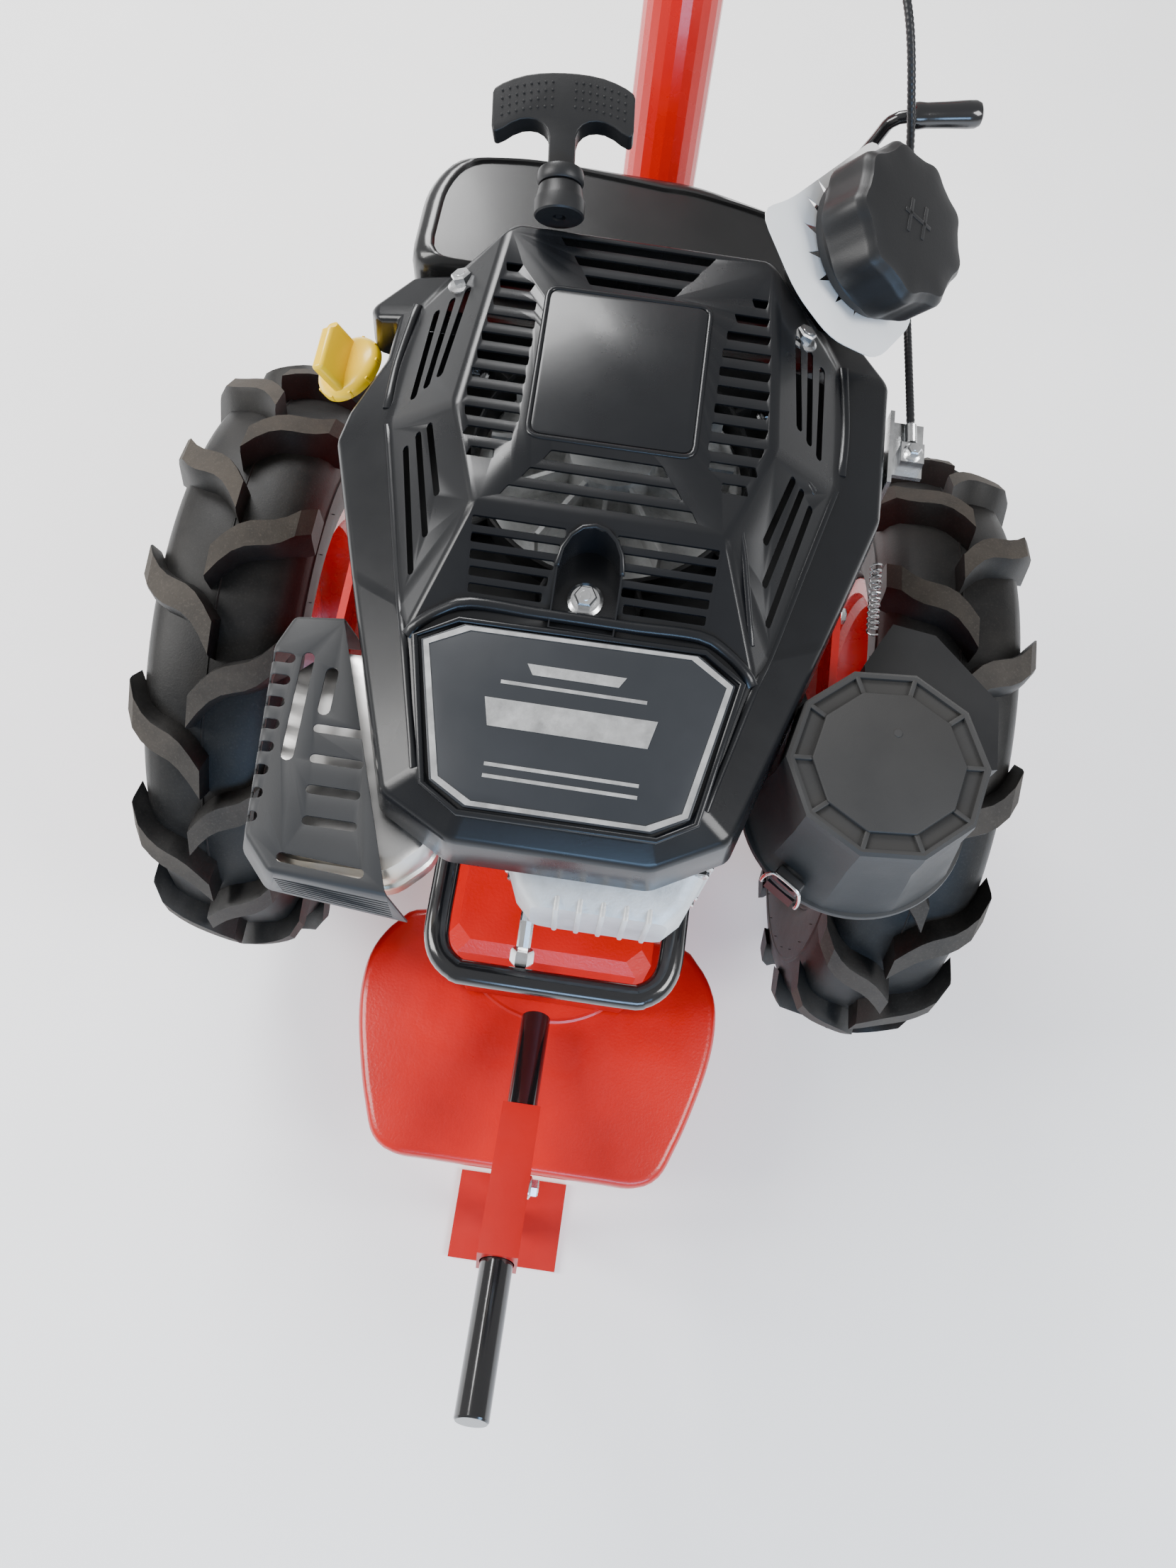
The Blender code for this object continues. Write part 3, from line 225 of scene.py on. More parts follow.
def rubber(name, colour, dusty, roughness, grain=0.35):
    """Tread rubber: sooty black with grey brown dust in patches and fine pits."""
    graph = Graph(name, colour, roughness, specular=0.3)
    patches = graph.noise(26.0, 6.0, 0.65)
    tone = graph.ramp(patches, colour, dusty, 0.36, 0.74)
    specks = graph.ramp(graph.noise(520.0, 3.0), (0, 0, 0), (0.5, 0.5, 0.5), 0.54, 0.72)
    tone = graph.mix(specks, tone, tuple(c * 1.15 + 0.004 for c in dusty))
    graph.link(tone, graph.shader.inputs["Base Color"])
    graph.vary_roughness(patches, roughness * 0.8, min(1.0, roughness * 1.2))
    graph.bump([(graph.noise(700.0, 4.0), 0.0003, grain), (graph.noise(90.0, 3.0), 0.0006, grain * 0.6)])
    return graph.material


def metal(name, colour, roughness, grain, stretch=(1, 1, 1), stain=None):
    """Plated, machined or cast metal: tone patches running to darker stains, fine grain or brushing."""
    graph = Graph(name, colour, roughness, 1.0)
    stain = stain or tuple(c * 0.55 for c in colour)
    tone = graph.ramp(graph.noise(38.0, 6.0, 0.6), stain, colour, 0.28, 0.55)
    graph.link(tone, graph.shader.inputs["Base Color"])
    graph.vary_roughness(graph.noise(120.0, 4.0, stretch=stretch), roughness * 0.7, roughness * 1.4)
    graph.bump([(graph.noise(800.0, 3.0, stretch=stretch), 0.00015, grain)])
    return graph.material


def cast(name, colour, roughness):
    """Sand-cast aluminium: pale grey, pebbled, greyer in random patches, with a painted highlight on its
    convex edges.
    """
    graph = Graph(name, colour, roughness, 0.55)
    patches = graph.ramp(graph.noise(55.0, 6.0, 0.62), tuple(c * 0.62 for c in colour), colour, 0.3, 0.58)
    # Painted highlight: the convex edges mixed towards a lighter grey.
    patches_with_edge_highlight = graph.mix(graph.edges(0.7), patches, tuple(min(1.0, c * 1.25) for c in colour))
    graph.link(patches_with_edge_highlight, graph.shader.inputs["Base Color"])
    graph.vary_roughness(graph.noise(200.0, 4.0), roughness * 0.8, min(1.0, roughness * 1.3))
    graph.bump([(graph.noise(650.0, 4.0), 0.0004, 0.55), (graph.noise(120.0, 3.0), 0.0005, 0.3)])
    return graph.material


def heat_tinted(name):
    """Muffler steel: silver, going straw, blue and red towards its lower front corner."""
    graph = Graph(name, (0.62, 0.61, 0.6), 0.32, 1.0)
    split = graph.add("ShaderNodeSeparateXYZ")
    graph.link(graph.where, split.inputs["Vector"])
    along = graph.add("ShaderNodeMapRange")
    along.inputs["From Min"].default_value = AXLE_Y - 0.27
    along.inputs["From Max"].default_value = AXLE_Y - 0.335
    graph.link(split.outputs["Y"], along.inputs["Value"])
    shift = graph.add("ShaderNodeMath", operation="MULTIPLY_ADD")
    graph.link(graph.noise(30.0, 4.0), shift.inputs[0])
    shift.inputs[1].default_value = 0.5
    graph.link(along.outputs["Result"], shift.inputs[2])
    ramp = graph.add("ShaderNodeValToRGB")
    stops = ((0.45, (0.62, 0.61, 0.6)), (0.8, (0.6, 0.5, 0.36)), (1.0, (0.42, 0.2, 0.22)))
    ramp.color_ramp.elements[0].position = stops[0][0]
    ramp.color_ramp.elements[0].color = (*stops[0][1], 1)
    ramp.color_ramp.elements[1].position = stops[2][0]
    ramp.color_ramp.elements[1].color = (*stops[2][1], 1)
    middle = ramp.color_ramp.elements.new(stops[1][0])
    middle.color = (*stops[1][1], 1)
    graph.link(shift.outputs[0], ramp.inputs["Fac"])
    graph.link(ramp.outputs["Color"], graph.shader.inputs["Base Color"])
    graph.vary_roughness(graph.noise(90.0, 4.0), 0.22, 0.45)
    graph.bump([(graph.noise(500.0, 3.0), 0.00015, 0.3)])
    return graph.material


RED = painted("red_paint_look", (0.62, 0.0045, 0.0016), (0.52, 0.003, 0.001), 0.26, 0.28, 0.2)
ROUGH_RED = painted("cast_red_look", (0.6, 0.004, 0.0015), (0.48, 0.0025, 0.001), 0.3, 0.85, 0.22)
DULL_RED = painted("sleeve_red_look", (0.5, 0.006, 0.004), (0.44, 0.005, 0.003), 0.38, 0.2, 0.1)
GLOSS_BLACK = painted("black_paint_look", (0.01, 0.01, 0.011), (0.006, 0.006, 0.007), 0.16, 0.1, 0.5)
GUARD_BLACK = moulded("guard_look", (0.014, 0.0145, 0.0155), 0.5, 0.3)
SHROUD = moulded("cowl_look", (0.0038, 0.0042, 0.0052), 0.28, 0.22, coat=0.1)
PLASTIC = moulded("plastic_look", (0.0085, 0.0085, 0.009), 0.42, 0.4)
TANK = moulded("tank_look", (0.009, 0.0092, 0.0096), 0.24, 0.25, coat=0.25)
CLEANER_LOOK = moulded("cleaner_look", (0.015, 0.0152, 0.0158), 0.56, 0.6, tint=(0.019, 0.0182, 0.0172))
TREAD = rubber("tyre_look", (0.006, 0.0058, 0.0058), (0.018, 0.0165, 0.015), 0.52)
WORN = rubber("worn_tread_look", (0.036, 0.031, 0.026), (0.068, 0.058, 0.048), 0.8, 0.6)
GRIP = rubber("grip_look", (0.012, 0.012, 0.013), (0.022, 0.022, 0.022), 0.55, 0.25)
CABLE = moulded("cable_look", (0.01, 0.01, 0.011), 0.35, 0.15)
ZINC = metal("zinc_look", (0.74, 0.75, 0.76), 0.24, 0.2)
STEEL = metal("steel_look", (0.5, 0.5, 0.5), 0.3, 0.35, (1, 1, 9))
CAST = cast("cast_look", (0.62, 0.63, 0.63), 0.48)
YELLOW = moulded("yellow_look", (0.8, 0.42, 0.0), 0.3, 0.12, coat=0.2)
DECAL = moulded("decal_look", (0.014, 0.0155, 0.018), 0.34, 0.1)
SILVER = metal("decal_silver_look", (0.8, 0.81, 0.82), 0.34, 0.45)
WHITE = moulded("tag_look", (0.78, 0.78, 0.76), 0.45, 0.15)
HEAT = heat_tinted("muffler_look")
BLOCK = moulded("latch_black_look", (0.014, 0.014, 0.015), 0.4, 0.3)


# ---------------------------------------------------------------- meshes
def mesh_from(build, angle=35.0):
    mesh = bpy.data.meshes.new("mesh")
    work = bmesh.new()
    build(work)
    bmesh.ops.recalc_face_normals(work, faces=work.faces)
    work.to_mesh(mesh)
    work.free()
    mesh.shade_smooth()
    mesh.set_sharp_from_angle(angle=math.radians(angle))
    return mesh


def towards(axis):
    return UP.rotation_difference(Vector(axis)).to_matrix().to_4x4()


def frame_at(origin, x_axis, z_axis):
    """A matrix with its own x and z along these axes."""
    z = Vector(z_axis).normalized()
    x = Vector(x_axis)
    x = (x - z * x.dot(z)).normalized()
    return Matrix.Translation(Vector(origin)) @ Matrix((x, z.cross(x), z)).transposed().to_4x4()


def joined(meshes, angle=35.0):
    """One mesh of several, which keeps their material indices."""
    made = bpy.data.meshes.new("joined")
    work = bmesh.new()
    for mesh in meshes:
        work.from_mesh(mesh)
    work.to_mesh(made)
    work.free()
    made.shade_smooth()
    made.set_sharp_from_angle(angle=math.radians(angle))
    return made


def moved(mesh, matrix):
    made = mesh.copy()
    made.transform(matrix)
    return made


def worked(mesh, *steps, angle=35.0):
    """The mesh after these modifiers, each given as (type, settings)."""
    obj = bpy.data.objects.new("work", mesh)
    bpy.context.scene.collection.objects.link(obj)
    for kind, settings in steps:
        step = obj.modifiers.new(kind, kind)
        for key, value in settings.items():
            setattr(step, key, value)
    bpy.context.view_layer.update()
    made = bpy.data.meshes.new_from_object(obj.evaluated_get(bpy.context.evaluated_depsgraph_get()))
    bpy.data.objects.remove(obj, do_unlink=True)
    made.shade_smooth()
    made.set_sharp_from_angle(angle=math.radians(angle))
    return made


def bevel(width, segments=3, angle=30.0):
    settings = {"width": width, "segments": segments, "limit_method": "ANGLE", "harden_normals": False}
    return ("BEVEL", {**settings, "angle_limit": math.radians(angle), "use_clamp_overlap": True})


EVEN_NORMALS = ("WEIGHTED_NORMAL", {"weight": 100, "keep_sharp": True})


def cut(mesh, cutters):
    """The mesh with these closed meshes taken from it."""
    tool = bpy.data.objects.new("tool", joined(cutters))
    bpy.context.scene.collection.objects.link(tool)
    settings = {"object": tool, "operation": "DIFFERENCE", "solver": "EXACT"}
    made = worked(mesh, ("BOOLEAN", settings))
    bpy.data.objects.remove(tool, do_unlink=True)
    return made


def box(low, high, round_by=0.0, segments=3):
    low, high = Vector(low), Vector(high)

    def build(work):
        bmesh.ops.create_cube(work, size=1)
        place = Matrix.Translation((low + high) / 2) @ Matrix.Diagonal((*(high - low), 1))
        bmesh.ops.transform(work, matrix=place, verts=work.verts)
        if round_by:
            bmesh.ops.bevel(
                work, geom=list(work.edges), offset=round_by, segments=segments, affect="EDGES", profile=0.5
            )

    return mesh_from(build)


def lathe(profile, origin=(0, 0, 0), axis=(0, 0, 1), steps=48, ring=False, angle=30.0):
    """A profile of (radius, height) pairs turned about the axis; a ring's profile joins its own end."""

    def build(work):
        rows = []
        for i in range(steps):
            turn = 2 * math.pi * i / steps
            rows.append([work.verts.new((r * math.cos(turn), r * math.sin(turn), h)) for r, h in profile])
        count = len(profile)
        for i in range(steps):
            here, there = rows[i], rows[(i + 1) % steps]
            for j in range(count if ring else count - 1):
                k = (j + 1) % count
                work.faces.new((here[j], here[k], there[k], there[j]))
        bmesh.ops.remove_doubles(work, verts=work.verts, dist=0.000005)
        bmesh.ops.dissolve_degenerate(work, edges=work.edges, dist=0.000001)
        bmesh.ops.transform(work, matrix=Matrix.Translation(Vector(origin)) @ towards(axis), verts=work.verts)

    return mesh_from(build, angle)


def prism(outline, low, high, place=None, angle=35.0):
    def build(work):
        bottom = [work.verts.new((x, y, low)) for x, y in outline]
        face = work.faces.new(bottom)
        raised = bmesh.ops.extrude_face_region(work, geom=[face])["geom"]
        tops = [item for item in raised if isinstance(item, bmesh.types.BMVert)]
        bmesh.ops.translate(work, vec=(0, 0, high - low), verts=tops)
        if place:
            bmesh.ops.transform(work, matrix=place, verts=work.verts)

    return mesh_from(build, angle)


def loft(rings, caps=True, angle=35.0):
    def build(work):
        rows = [[work.verts.new(point) for point in ring] for ring in rings]
        for lower, upper in zip(rows, rows[1:]):
            for i in range(len(lower)):
                j = (i + 1) % len(lower)
                work.faces.new((lower[i], lower[j], upper[j], upper[i]))
        if caps:
            work.faces.new(rows[0][::-1])
            work.faces.new(rows[-1])

    return mesh_from(build, angle)


def spline(points, spacing, cyclic=False):
    """Points about this far apart along a Catmull-Rom curve through the given ones."""
    points = [Vector(p) for p in points]
    if cyclic:
        padded = [points[-1]] + points + [points[0], points[1]]
    else:
        padded = [points[0] * 2 - points[1]] + points + [points[-1] * 2 - points[-2]]
    path = []
    for a, b, c, d in zip(padded, padded[1:], padded[2:], padded[3:]):
        steps = max(1, round((c - b).length / spacing))
        for i in range(steps):
            t = i / steps
            cubic = (2 * a - 5 * b + 4 * c - d) * t * t + (3 * b - a - 3 * c + d) * t * t * t
            path.append(0.5 * (2 * b + (c - a) * t + cubic))
    return path if cyclic else path + [points[-1]]


def tube(points, radius, sides=14, cyclic=False, radii=None):
    """A round tube with its own rings carried along the path without twist."""
    points = [Vector(p) for p in points]
    count = len(points)
    rings = []
    side = None
    for i, point in enumerate(points):
        before = points[i - 1] if i or cyclic else point
        after = points[(i + 1) % count] if i < count - 1 or cyclic else point
        along = (after - before).normalized()
        if side is None:
            side = along.orthogonal().normalized()
        side = (side - along * side.dot(along)).normalized()
        other = along.cross(side)
        r = radii[i] if radii else radius
        turns = [2 * math.pi * k / sides for k in range(sides)]
        rings.append([point + side * (r * math.cos(t)) + other * (r * math.sin(t)) for t in turns])
    return loft(rings, caps=not cyclic, angle=50)


def rounded(corners, radius, steps=5):
    """A closed outline of (x, y) corners, each turned into an arc."""
    corners = [Vector(p) for p in corners]
    made = []
    for i, corner in enumerate(corners):
        before, after = corners[i - 1], corners[(i + 1) % len(corners)]
        to_before, to_after = (before - corner), (after - corner)
        reach = min(radius, to_before.length * 0.48, to_after.length * 0.48)
        start = corner + to_before.normalized() * reach
        end = corner + to_after.normalized() * reach
        for k in range(steps + 1):
            t = k / steps
            made.append(start * (1 - t) ** 2 + corner * (2 * t * (1 - t)) + end * t * t)
    return [(p.x, p.y) for p in made]


def capsule(start, end, width, steps=6):
    """A slot's outline: two half circles joined."""
    start, end = Vector(start), Vector(end)
    along = (end - start).normalized()
    side = Vector((-along.y, along.x))
    made = []
    for centre, first in ((end, -90), (start, 90)):
        for k in range(steps + 1):
            turn = math.radians(first + 180 * k / steps)
            made.append(centre + along * (width / 2 * math.cos(turn)) + side * (width / 2 * math.sin(turn)))
    return [(p.x, p.y) for p in made]


def hex_bolt(place, axis, size=0.0065, flange=0.01, tall=0.0062):
    """A hex head with chamfered corners on its flange; size is the radius to a corner."""
    rings = []
    turns = [math.pi * k / 3 for k in range(6)]
    for radius, height in ((size, 0.0018), (size, tall - 0.0012), (size * 0.86, tall)):
        rings.append([(radius * math.cos(t), radius * math.sin(t), height) for t in turns])
    head = loft(rings)
    disc = [(0, 0), (flange, 0), (flange, 0.001), (flange * 0.8, 0.0022), (0, 0.0022)]
    dimple = [(0, tall + 0.0002), (size * 0.45, tall + 0.0002), (size * 0.52, tall - 0.0004)]
    made = joined([head, lathe(disc, steps=24), lathe(dimple, steps=18)], 25)
    made.transform(Matrix.Translation(Vector(place)) @ towards(axis))
    return made


# ---------------------------------------------------------------- pieces
def place(name, mesh, look, body, slot, stands_for=(), more_looks=()):
    """A piece moved to the CAD's frame, on its body (None where it bends), with its look; its slot is not
    used.
    """
    obj = bpy.data.objects.new(name, mesh)
    bpy.context.scene.collection.objects.link(obj)
    mesh.name = name
    mesh.transform(Matrix.Translation((0, AXLE_Y, 0)))
    for material in (look, *more_looks):
        mesh.materials.append(material)
    if body:
        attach(obj, body)
    if stands_for:
        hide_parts(*stands_for)
    return obj


def dress(look, *nodes):
    """Gives CAD nodes that stay shown their look."""
    for node in nodes:
        mesh = frame["nodes"][node].data
        mesh.materials.clear()
        mesh.materials.append(look)


# ---------------------------------------------------------------- wheels
def carcass(centre_x):
    outer = [(0.152, 0.038), (0.165, 0.0382), (0.1665, 0.04), (0.1685, 0.045), (0.17, 0.0462)]
    outer += [(0.1715, 0.0458), (0.174, 0.05), (0.18, 0.054), (0.19, 0.057), (0.205, 0.0585)]
    outer += [(0.22, 0.0585), (0.221, 0.0594), (0.2235, 0.0594), (0.2245, 0.0582), (0.238, 0.0566)]
    outer += [(0.247, 0.052), (0.2545, 0.0455), (0.259, 0.035), (0.2615, 0.022), (CARCASS_R, 0.01)]
    outer += [(CARCASS_R, 0.0012), (CARCASS_R + 0.0009, 0.0005)]
    inner = [(0.247, 0.0205), (0.24, 0.038), (0.23, 0.0455), (0.205, 0.048), (0.175, 0.041)]
    inner.append((0.152, 0.0325))
    profile = outer + [(r, -a) for r, a in outer[::-1]] + [(r, -a) for r, a in inner[::-1]] + inner
    return lathe(profile, (centre_x, 0, AXLE_Z), (1, 0, 0), steps=120, ring=True, angle=40)


def lug(centre_x, side, angle):
    """One lug: a squared nose at the middle, an S bend, and a heel that drops over the shoulder."""
    stations = 9
    rings = []
    for i in range(stations):
        t = i / (stations - 1)
        across = -0.006 + t * (TYRE_HALF + 0.0055)
        sweep = -0.215 * (t + 0.11 * math.sin(2 * math.pi * t))
        top = TYRE_R - 0.0165 * t * t - 0.0005
        if i == stations - 1:
            across += 0.0004
            top -= 0.009
        low = CARCASS_R - 0.004 - 0.024 * t**3
        half = 0.014 - 0.002 * math.sin(math.pi * t) + 0.001 * t
        flare = 1.3
        ring = []
        corners = ((low, flare), (top - 0.004, 1.06), (top, 0.9), (top, -0.9), (top - 0.004, -1.06))
        for radius, width in corners:
            phi = angle + sweep + width * half / TYRE_R
            ring.append((radius, phi))
        ring.append((low, angle + sweep - flare * half / TYRE_R))
        rings.append(
            [(centre_x + side * across, -r * math.sin(phi), AXLE_Z + r * math.cos(phi)) for r, phi in ring]
        )

    def build(work):
        rows = [[work.verts.new(point) for point in ring] for ring in rings]
        for lower, upper in zip(rows, rows[1:]):
            for i in range(6):
                j = (i + 1) % 6
                face = work.faces.new((lower[i], lower[j], upper[j], upper[i]))
                face.material_index = 1 if i == 2 else 0
        work.faces.new(rows[0][::-1])
        work.faces.new(rows[-1])

    return mesh_from(build, 28)


def vent_hairs(centre_x, phase):
    hairs = []
    for i in range(30):
        turn = phase + 2 * math.pi * i / 30
        for across in (-0.0585, 0.0585):
            side = math.copysign(1, across)
            base = Vector((centre_x + across, -0.212 * math.sin(turn), AXLE_Z + 0.212 * math.cos(turn)))
            tip = base + Vector((side * 0.0022, 0, 0))
            hairs.append(tube([base, tip], 0.0004, 5))
    return hairs


def tyre(word, centre_x, phase):
    pitch = 2 * math.pi / LUGS_PER_SIDE
    parts = [carcass(centre_x)]
    for i in range(LUGS_PER_SIDE):
        parts.append(lug(centre_x, 1, phase + pitch * (i + 0.5)))
        parts.append(lug(centre_x, -1, phase + pitch * i))
    parts += vent_hairs(centre_x, phase)
    node = f"tyre_{word}"
    return place(f"{node}_tread", joined(parts, 28), TREAD, "wheels", "tyre_rubber", [node], [WORN])


def rim(word, centre_x, side):
    lip = [(0.1514, 0.0384), (0.164, 0.0384), (0.1652, 0.0394), (0.1652, 0.0408), (0.164, 0.0418)]
    lip += [(0.15, 0.0418), (0.149, 0.04), (0.148, 0.033), (0.14, 0.027), (0.138, 0.02)]
    web = [(0.133, 0.015), (0.12, 0.011), (0.09, 0.0046), (0.056, 0.0044), (0.0145, 0.0044)]
    back = [(0.0145, 0.0004), (0.056, 0.0004), (0.091, 0.0004), (0.12, 0.007), (0.134, 0.009)]
    far = [(0.138, -0.02), (0.14, -0.027), (0.148, -0.033), (0.149, -0.04), (0.15, -0.0418)]
    far += [(0.164, -0.0418), (0.1652, -0.0408), (0.1652, -0.0394), (0.164, -0.0384), (0.1514, -0.0384)]
    seat = [(0.1505, -0.033), (0.143, -0.025), (0.143, 0.025), (0.1505, 0.033)]
    profile = lip + web + back + far + seat
    disc = lathe(profile, (centre_x, 0, AXLE_Z), (side, 0, 0), steps=96, ring=True, angle=35)
    holes = []
    for i in range(6):
        turn = 2 * math.pi * (i + 0.5) / 6
        place_at = Vector((centre_x, -0.105 * math.sin(turn), AXLE_Z + 0.105 * math.cos(turn)))
        holes.append(lathe([(0, -0.04), (0.013, -0.04), (0.013, 0.04), (0, 0.04)], place_at, (1, 0, 0), 24))
    return place(f"rim_{word}_disc", cut(disc, holes), RED, "wheels", "red_paint", [f"rim_{word}"])


def wheel_bolts():
    bolts = []
    for side in (-1, 1):
        x = side * (TRACK_HALF + 0.0046)
        for i in range(5):
            turn = 2 * math.pi * i / 5
            spot = (x, -0.036 * math.sin(turn), AXLE_Z + 0.036 * math.cos(turn))
            bolts.append(hex_bolt(spot, (side, 0, 0), 0.008, 0.011, 0.0085))
    return place("wheel_bolts", joined(bolts, 25), ZINC, "wheels", "zinc")


def wheels():
    for word, side, phase in (("left", -1, math.radians(-2)), ("right", 1, math.radians(3))):
        centre_x = side * TRACK_HALF
        tyre(word, centre_x, phase)
        rim(word, centre_x, side)
    wheel_bolts()
    dress(CAST, "hub_left", "hub_right")
    dress(STEEL, "axle_shaft", "final_gear", "final_pinion")


# ---------------------------------------------------------------- cowl
RIDGE_Z = 0.717
COWL_HALF = {
    "plateau": [(0.077, -0.0915), (0.1005, -0.022), (0.0905, 0.12), (0.082, 0.1265)],
    "valley": [(0.0745, -0.143, 0.7385), (0.1075, -0.162, 0.726)],
    "ridge": [(0.0555, -0.2685), (0.0865, -0.248), (0.116, -0.14), (0.149, -0.011), (0.146, 0.085)],
    "skirt": [(0.061, -0.284), (0.106, -0.26), (0.153, -0.118), (0.1835, -0.02), (0.1835, 0.092)],
    "rim": [(0.063, -0.288), (0.1095, -0.262), (0.1555, -0.118), (0.186, -0.019), (0.186, 0.095)],
}

OIL_NICHE = [(0.1795, 0.003), (0.1615, 0.045), (0.1605, 0.078), (0.177, 0.081)]


def cowl_surface(work):
    """The pressed cowl: plateau, front wall, name plate field, side slopes, ridge and skirt."""
    sides = {}
    for side in (-1, 1):
        rows = {
            "p": [(side * x, y, PLATEAU_Z) for x, y in COWL_HALF["plateau"]],
            "v": [(side * x, y, z) for x, y, z in COWL_HALF["valley"]],
            "c": [(side * x, y, RIDGE_Z) for x, y in COWL_HALF["ridge"]] + [(side * 0.128, 0.119, RIDGE_Z)],
            "b": [(side * x, y, 0.704) for x, y in COWL_HALF["skirt"]] + [(side * 0.158, 0.1245, 0.704)],
            "a": [(side * x, y, 0.6725) for x, y in COWL_HALF["rim"]] + [(side * 0.16, 0.127, 0.6725)],
            "n": [(side * x, y, 0.717 - (x - 0.149) * 0.377) for x, y in OIL_NICHE if side < 0],
            "m": [(side * (x + 0.002), y, 0.6725) for x, y in OIL_NICHE if side < 0],
        }
        sides[side] = {key: [work.verts.new(point) for point in row] for key, row in rows.items()}
        p, v, c, b, a = (sides[side][key] for key in "pvcba")
        work.faces.new((p[0], v[0], v[1]))
        work.faces.new((p[0], v[1], c[2]))
        work.faces.new((p[0], c[2], p[1]))
        work.faces.new((p[1], c[2], c[3]))
        work.faces.new((p[1], c[3], c[4], p[2]))
        work.faces.new((p[2], c[4], c[5], p[3]))
        work.faces.new((c[1], b[1], b[2], c[2], v[1]))
        niche, foot = sides[side]["n"], sides[side]["m"]
        for i in (0, 2, 4):
            work.faces.new((c[i], b[i], b[i + 1], c[i + 1]))
        work.faces.new((c[3], b[3], *niche, b[4], c[4]))
        upper, lower = b[:4] + niche + b[4:], a[:4] + foot + a[4:]
        for i in range(len(upper) - 1):
            work.faces.new((upper[i], lower[i], lower[i + 1], upper[i + 1]))
    left, right = sides[-1], sides[1]
    work.faces.new(left["p"] + right["p"][::-1])
    work.faces.new((left["p"][0], right["p"][0], right["v"][0], left["v"][0]))
    field = [left["v"][0], left["v"][1], left["c"][1], left["c"][0]]
    work.faces.new(field + [right["c"][0], right["c"][1], right["v"][1], right["v"][0]])
    for upper, lower in (("p", "c"), ("c", "b"), ("b", "a")):
        work.faces.new((left[upper][-1], right[upper][-1], right[lower][-1], left[lower][-1]))
    for upper, lower in (("c", "b"), ("b", "a")):
        work.faces.new((left[upper][0], right[upper][0], right[lower][0], left[lower][0]))


def louvre(corners, z, deep=0.03):
    """A slot's cutter through the cowl, straight down, from its four corners and a middle height."""
    return prism(rounded(corners, 0.0012, 2), z - deep, z + deep)


def row_between(first, last, count, thick):
    """Slots spaced evenly from the first (x0, x1, y) to the last one."""
    made = []
    for i in range(count):
        t = i / (count - 1)
        x0, x1, y = (a + (b - a) * t for a, b in zip(first, last))
        made.append((x0, x1, y, thick))
    return made


def cowl_slots():
    """The cutters of every slot in the cowl, the bolt's arch last, and that arch's outline."""
    cutters = []

    def across(x0, x1, y, thick, z, slant=0.003):
        corners = [(x0 + slant, y - thick), (x1 - slant, y - thick), (x1, y), (x0, y)]
        cutters.append(louvre(corners, z))

    for x0, x1, y in ((-0.055, 0.049, 0.12), (-0.044, 0.04, 0.1055), (-0.035, 0.03, 0.091)):
        across(x0, x1, y, 0.0076, PLATEAU_Z, 0.0045)
    for x0, x1, y in ((-0.032, 0.029, -0.046), (-0.043, 0.039, -0.0605), (-0.054, 0.05, -0.075)):
        across(x0 - 0.004, x1 + 0.004, y, 0.008, PLATEAU_Z, -0.0045)
    for side in (-1, 1):
        for i in range(11):
            y = 0.092 - 0.01435 * i
            out = (0.0866, 0.0885, 0.0905, 0.092, 0.093, 0.0935, 0.0945, 0.095, 0.0938, 0.0895, 0.085)[i]
            inner = (0.075, 0.065, 0.062, 0.0605, 0.06, 0.06, 0.0598, 0.0595, 0.059, 0.061, 0.07)[i]
            tilt = 0.0015 if i < 9 else -0.002
            corners = [(side * inner, y), (side * out, y), (side * (out - tilt), y - 0.0072)]
            corners.append((side * (inner + (0.0025 if i in (0, 1) else 0)), y - 0.0072))
            cutters.append(louvre(corners, PLATEAU_Z))
    for x0, x1, y, thick in row_between((-0.076, -0.019, -0.0975), (-0.073, -0.028, -0.133), 5, 0.0052):
        across(x0, x1, y, thick, 0.752, 0)
    for x0, x1, y, thick in row_between((0.012, 0.074, -0.097), (0.0215, 0.072, -0.1325), 5, 0.0052):
        across(x0, x1, y, thick, 0.752, 0)

    def slanted(side, start, end, width, z=0.736):
        outline = capsule((side * start[0], start[1]), (side * end[0], end[1]), width, 3)
        cutters.append(prism(outline, z - 0.03, z + 0.03))

    for side in (-1, 1):
        slanted(side, (0.1315, -0.036), (0.112, -0.122), 0.004)
        slanted(side, (0.1235, -0.031), (0.106, -0.101), 0.004)
        slanted(side, (0.116, -0.029), (0.1025, -0.077), 0.004)
        slanted(side, (0.131, 0.072), (0.1335, 0.002), 0.0046)
        slanted(side, (0.1205, 0.076), (0.125, 0.006), 0.0046)
        slanted(side, (0.11, 0.078), (0.1165, 0.01), 0.0046)
    arch = [(-0.0215, -0.152), (0.018, -0.152), (0.018, -0.118)]
    for k in range(9):
        turn = math.pi * k / 8
        arch.append((-0.00175 + 0.01975 * math.cos(turn), -0.117 + 0.0225 * math.sin(turn)))
    arch.append((-0.0215, -0.118))
    cutters.append(prism(arch, 0.7, 0.8))
    return cutters, arch


def cowl():
    surface = mesh_from(cowl_surface)
    sheet = worked(
        surface,
        bevel(0.0042, 4, 9.0),
        ("SOLIDIFY", {"thickness": SHEET, "offset": -1, "use_even_offset": True}),
    )
    cutters, arch = cowl_slots()
    shell = cut(cut(sheet, cutters[:-1]), cutters[-1:])
    shell = worked(shell, bevel(0.00045, 2, 55.0), EVEN_NORMALS, angle=32)
    place("cowl", shell, SHROUD, "root", "black_plastic", ["shroud"])
    cowl_trim(arch)
    blower_base()


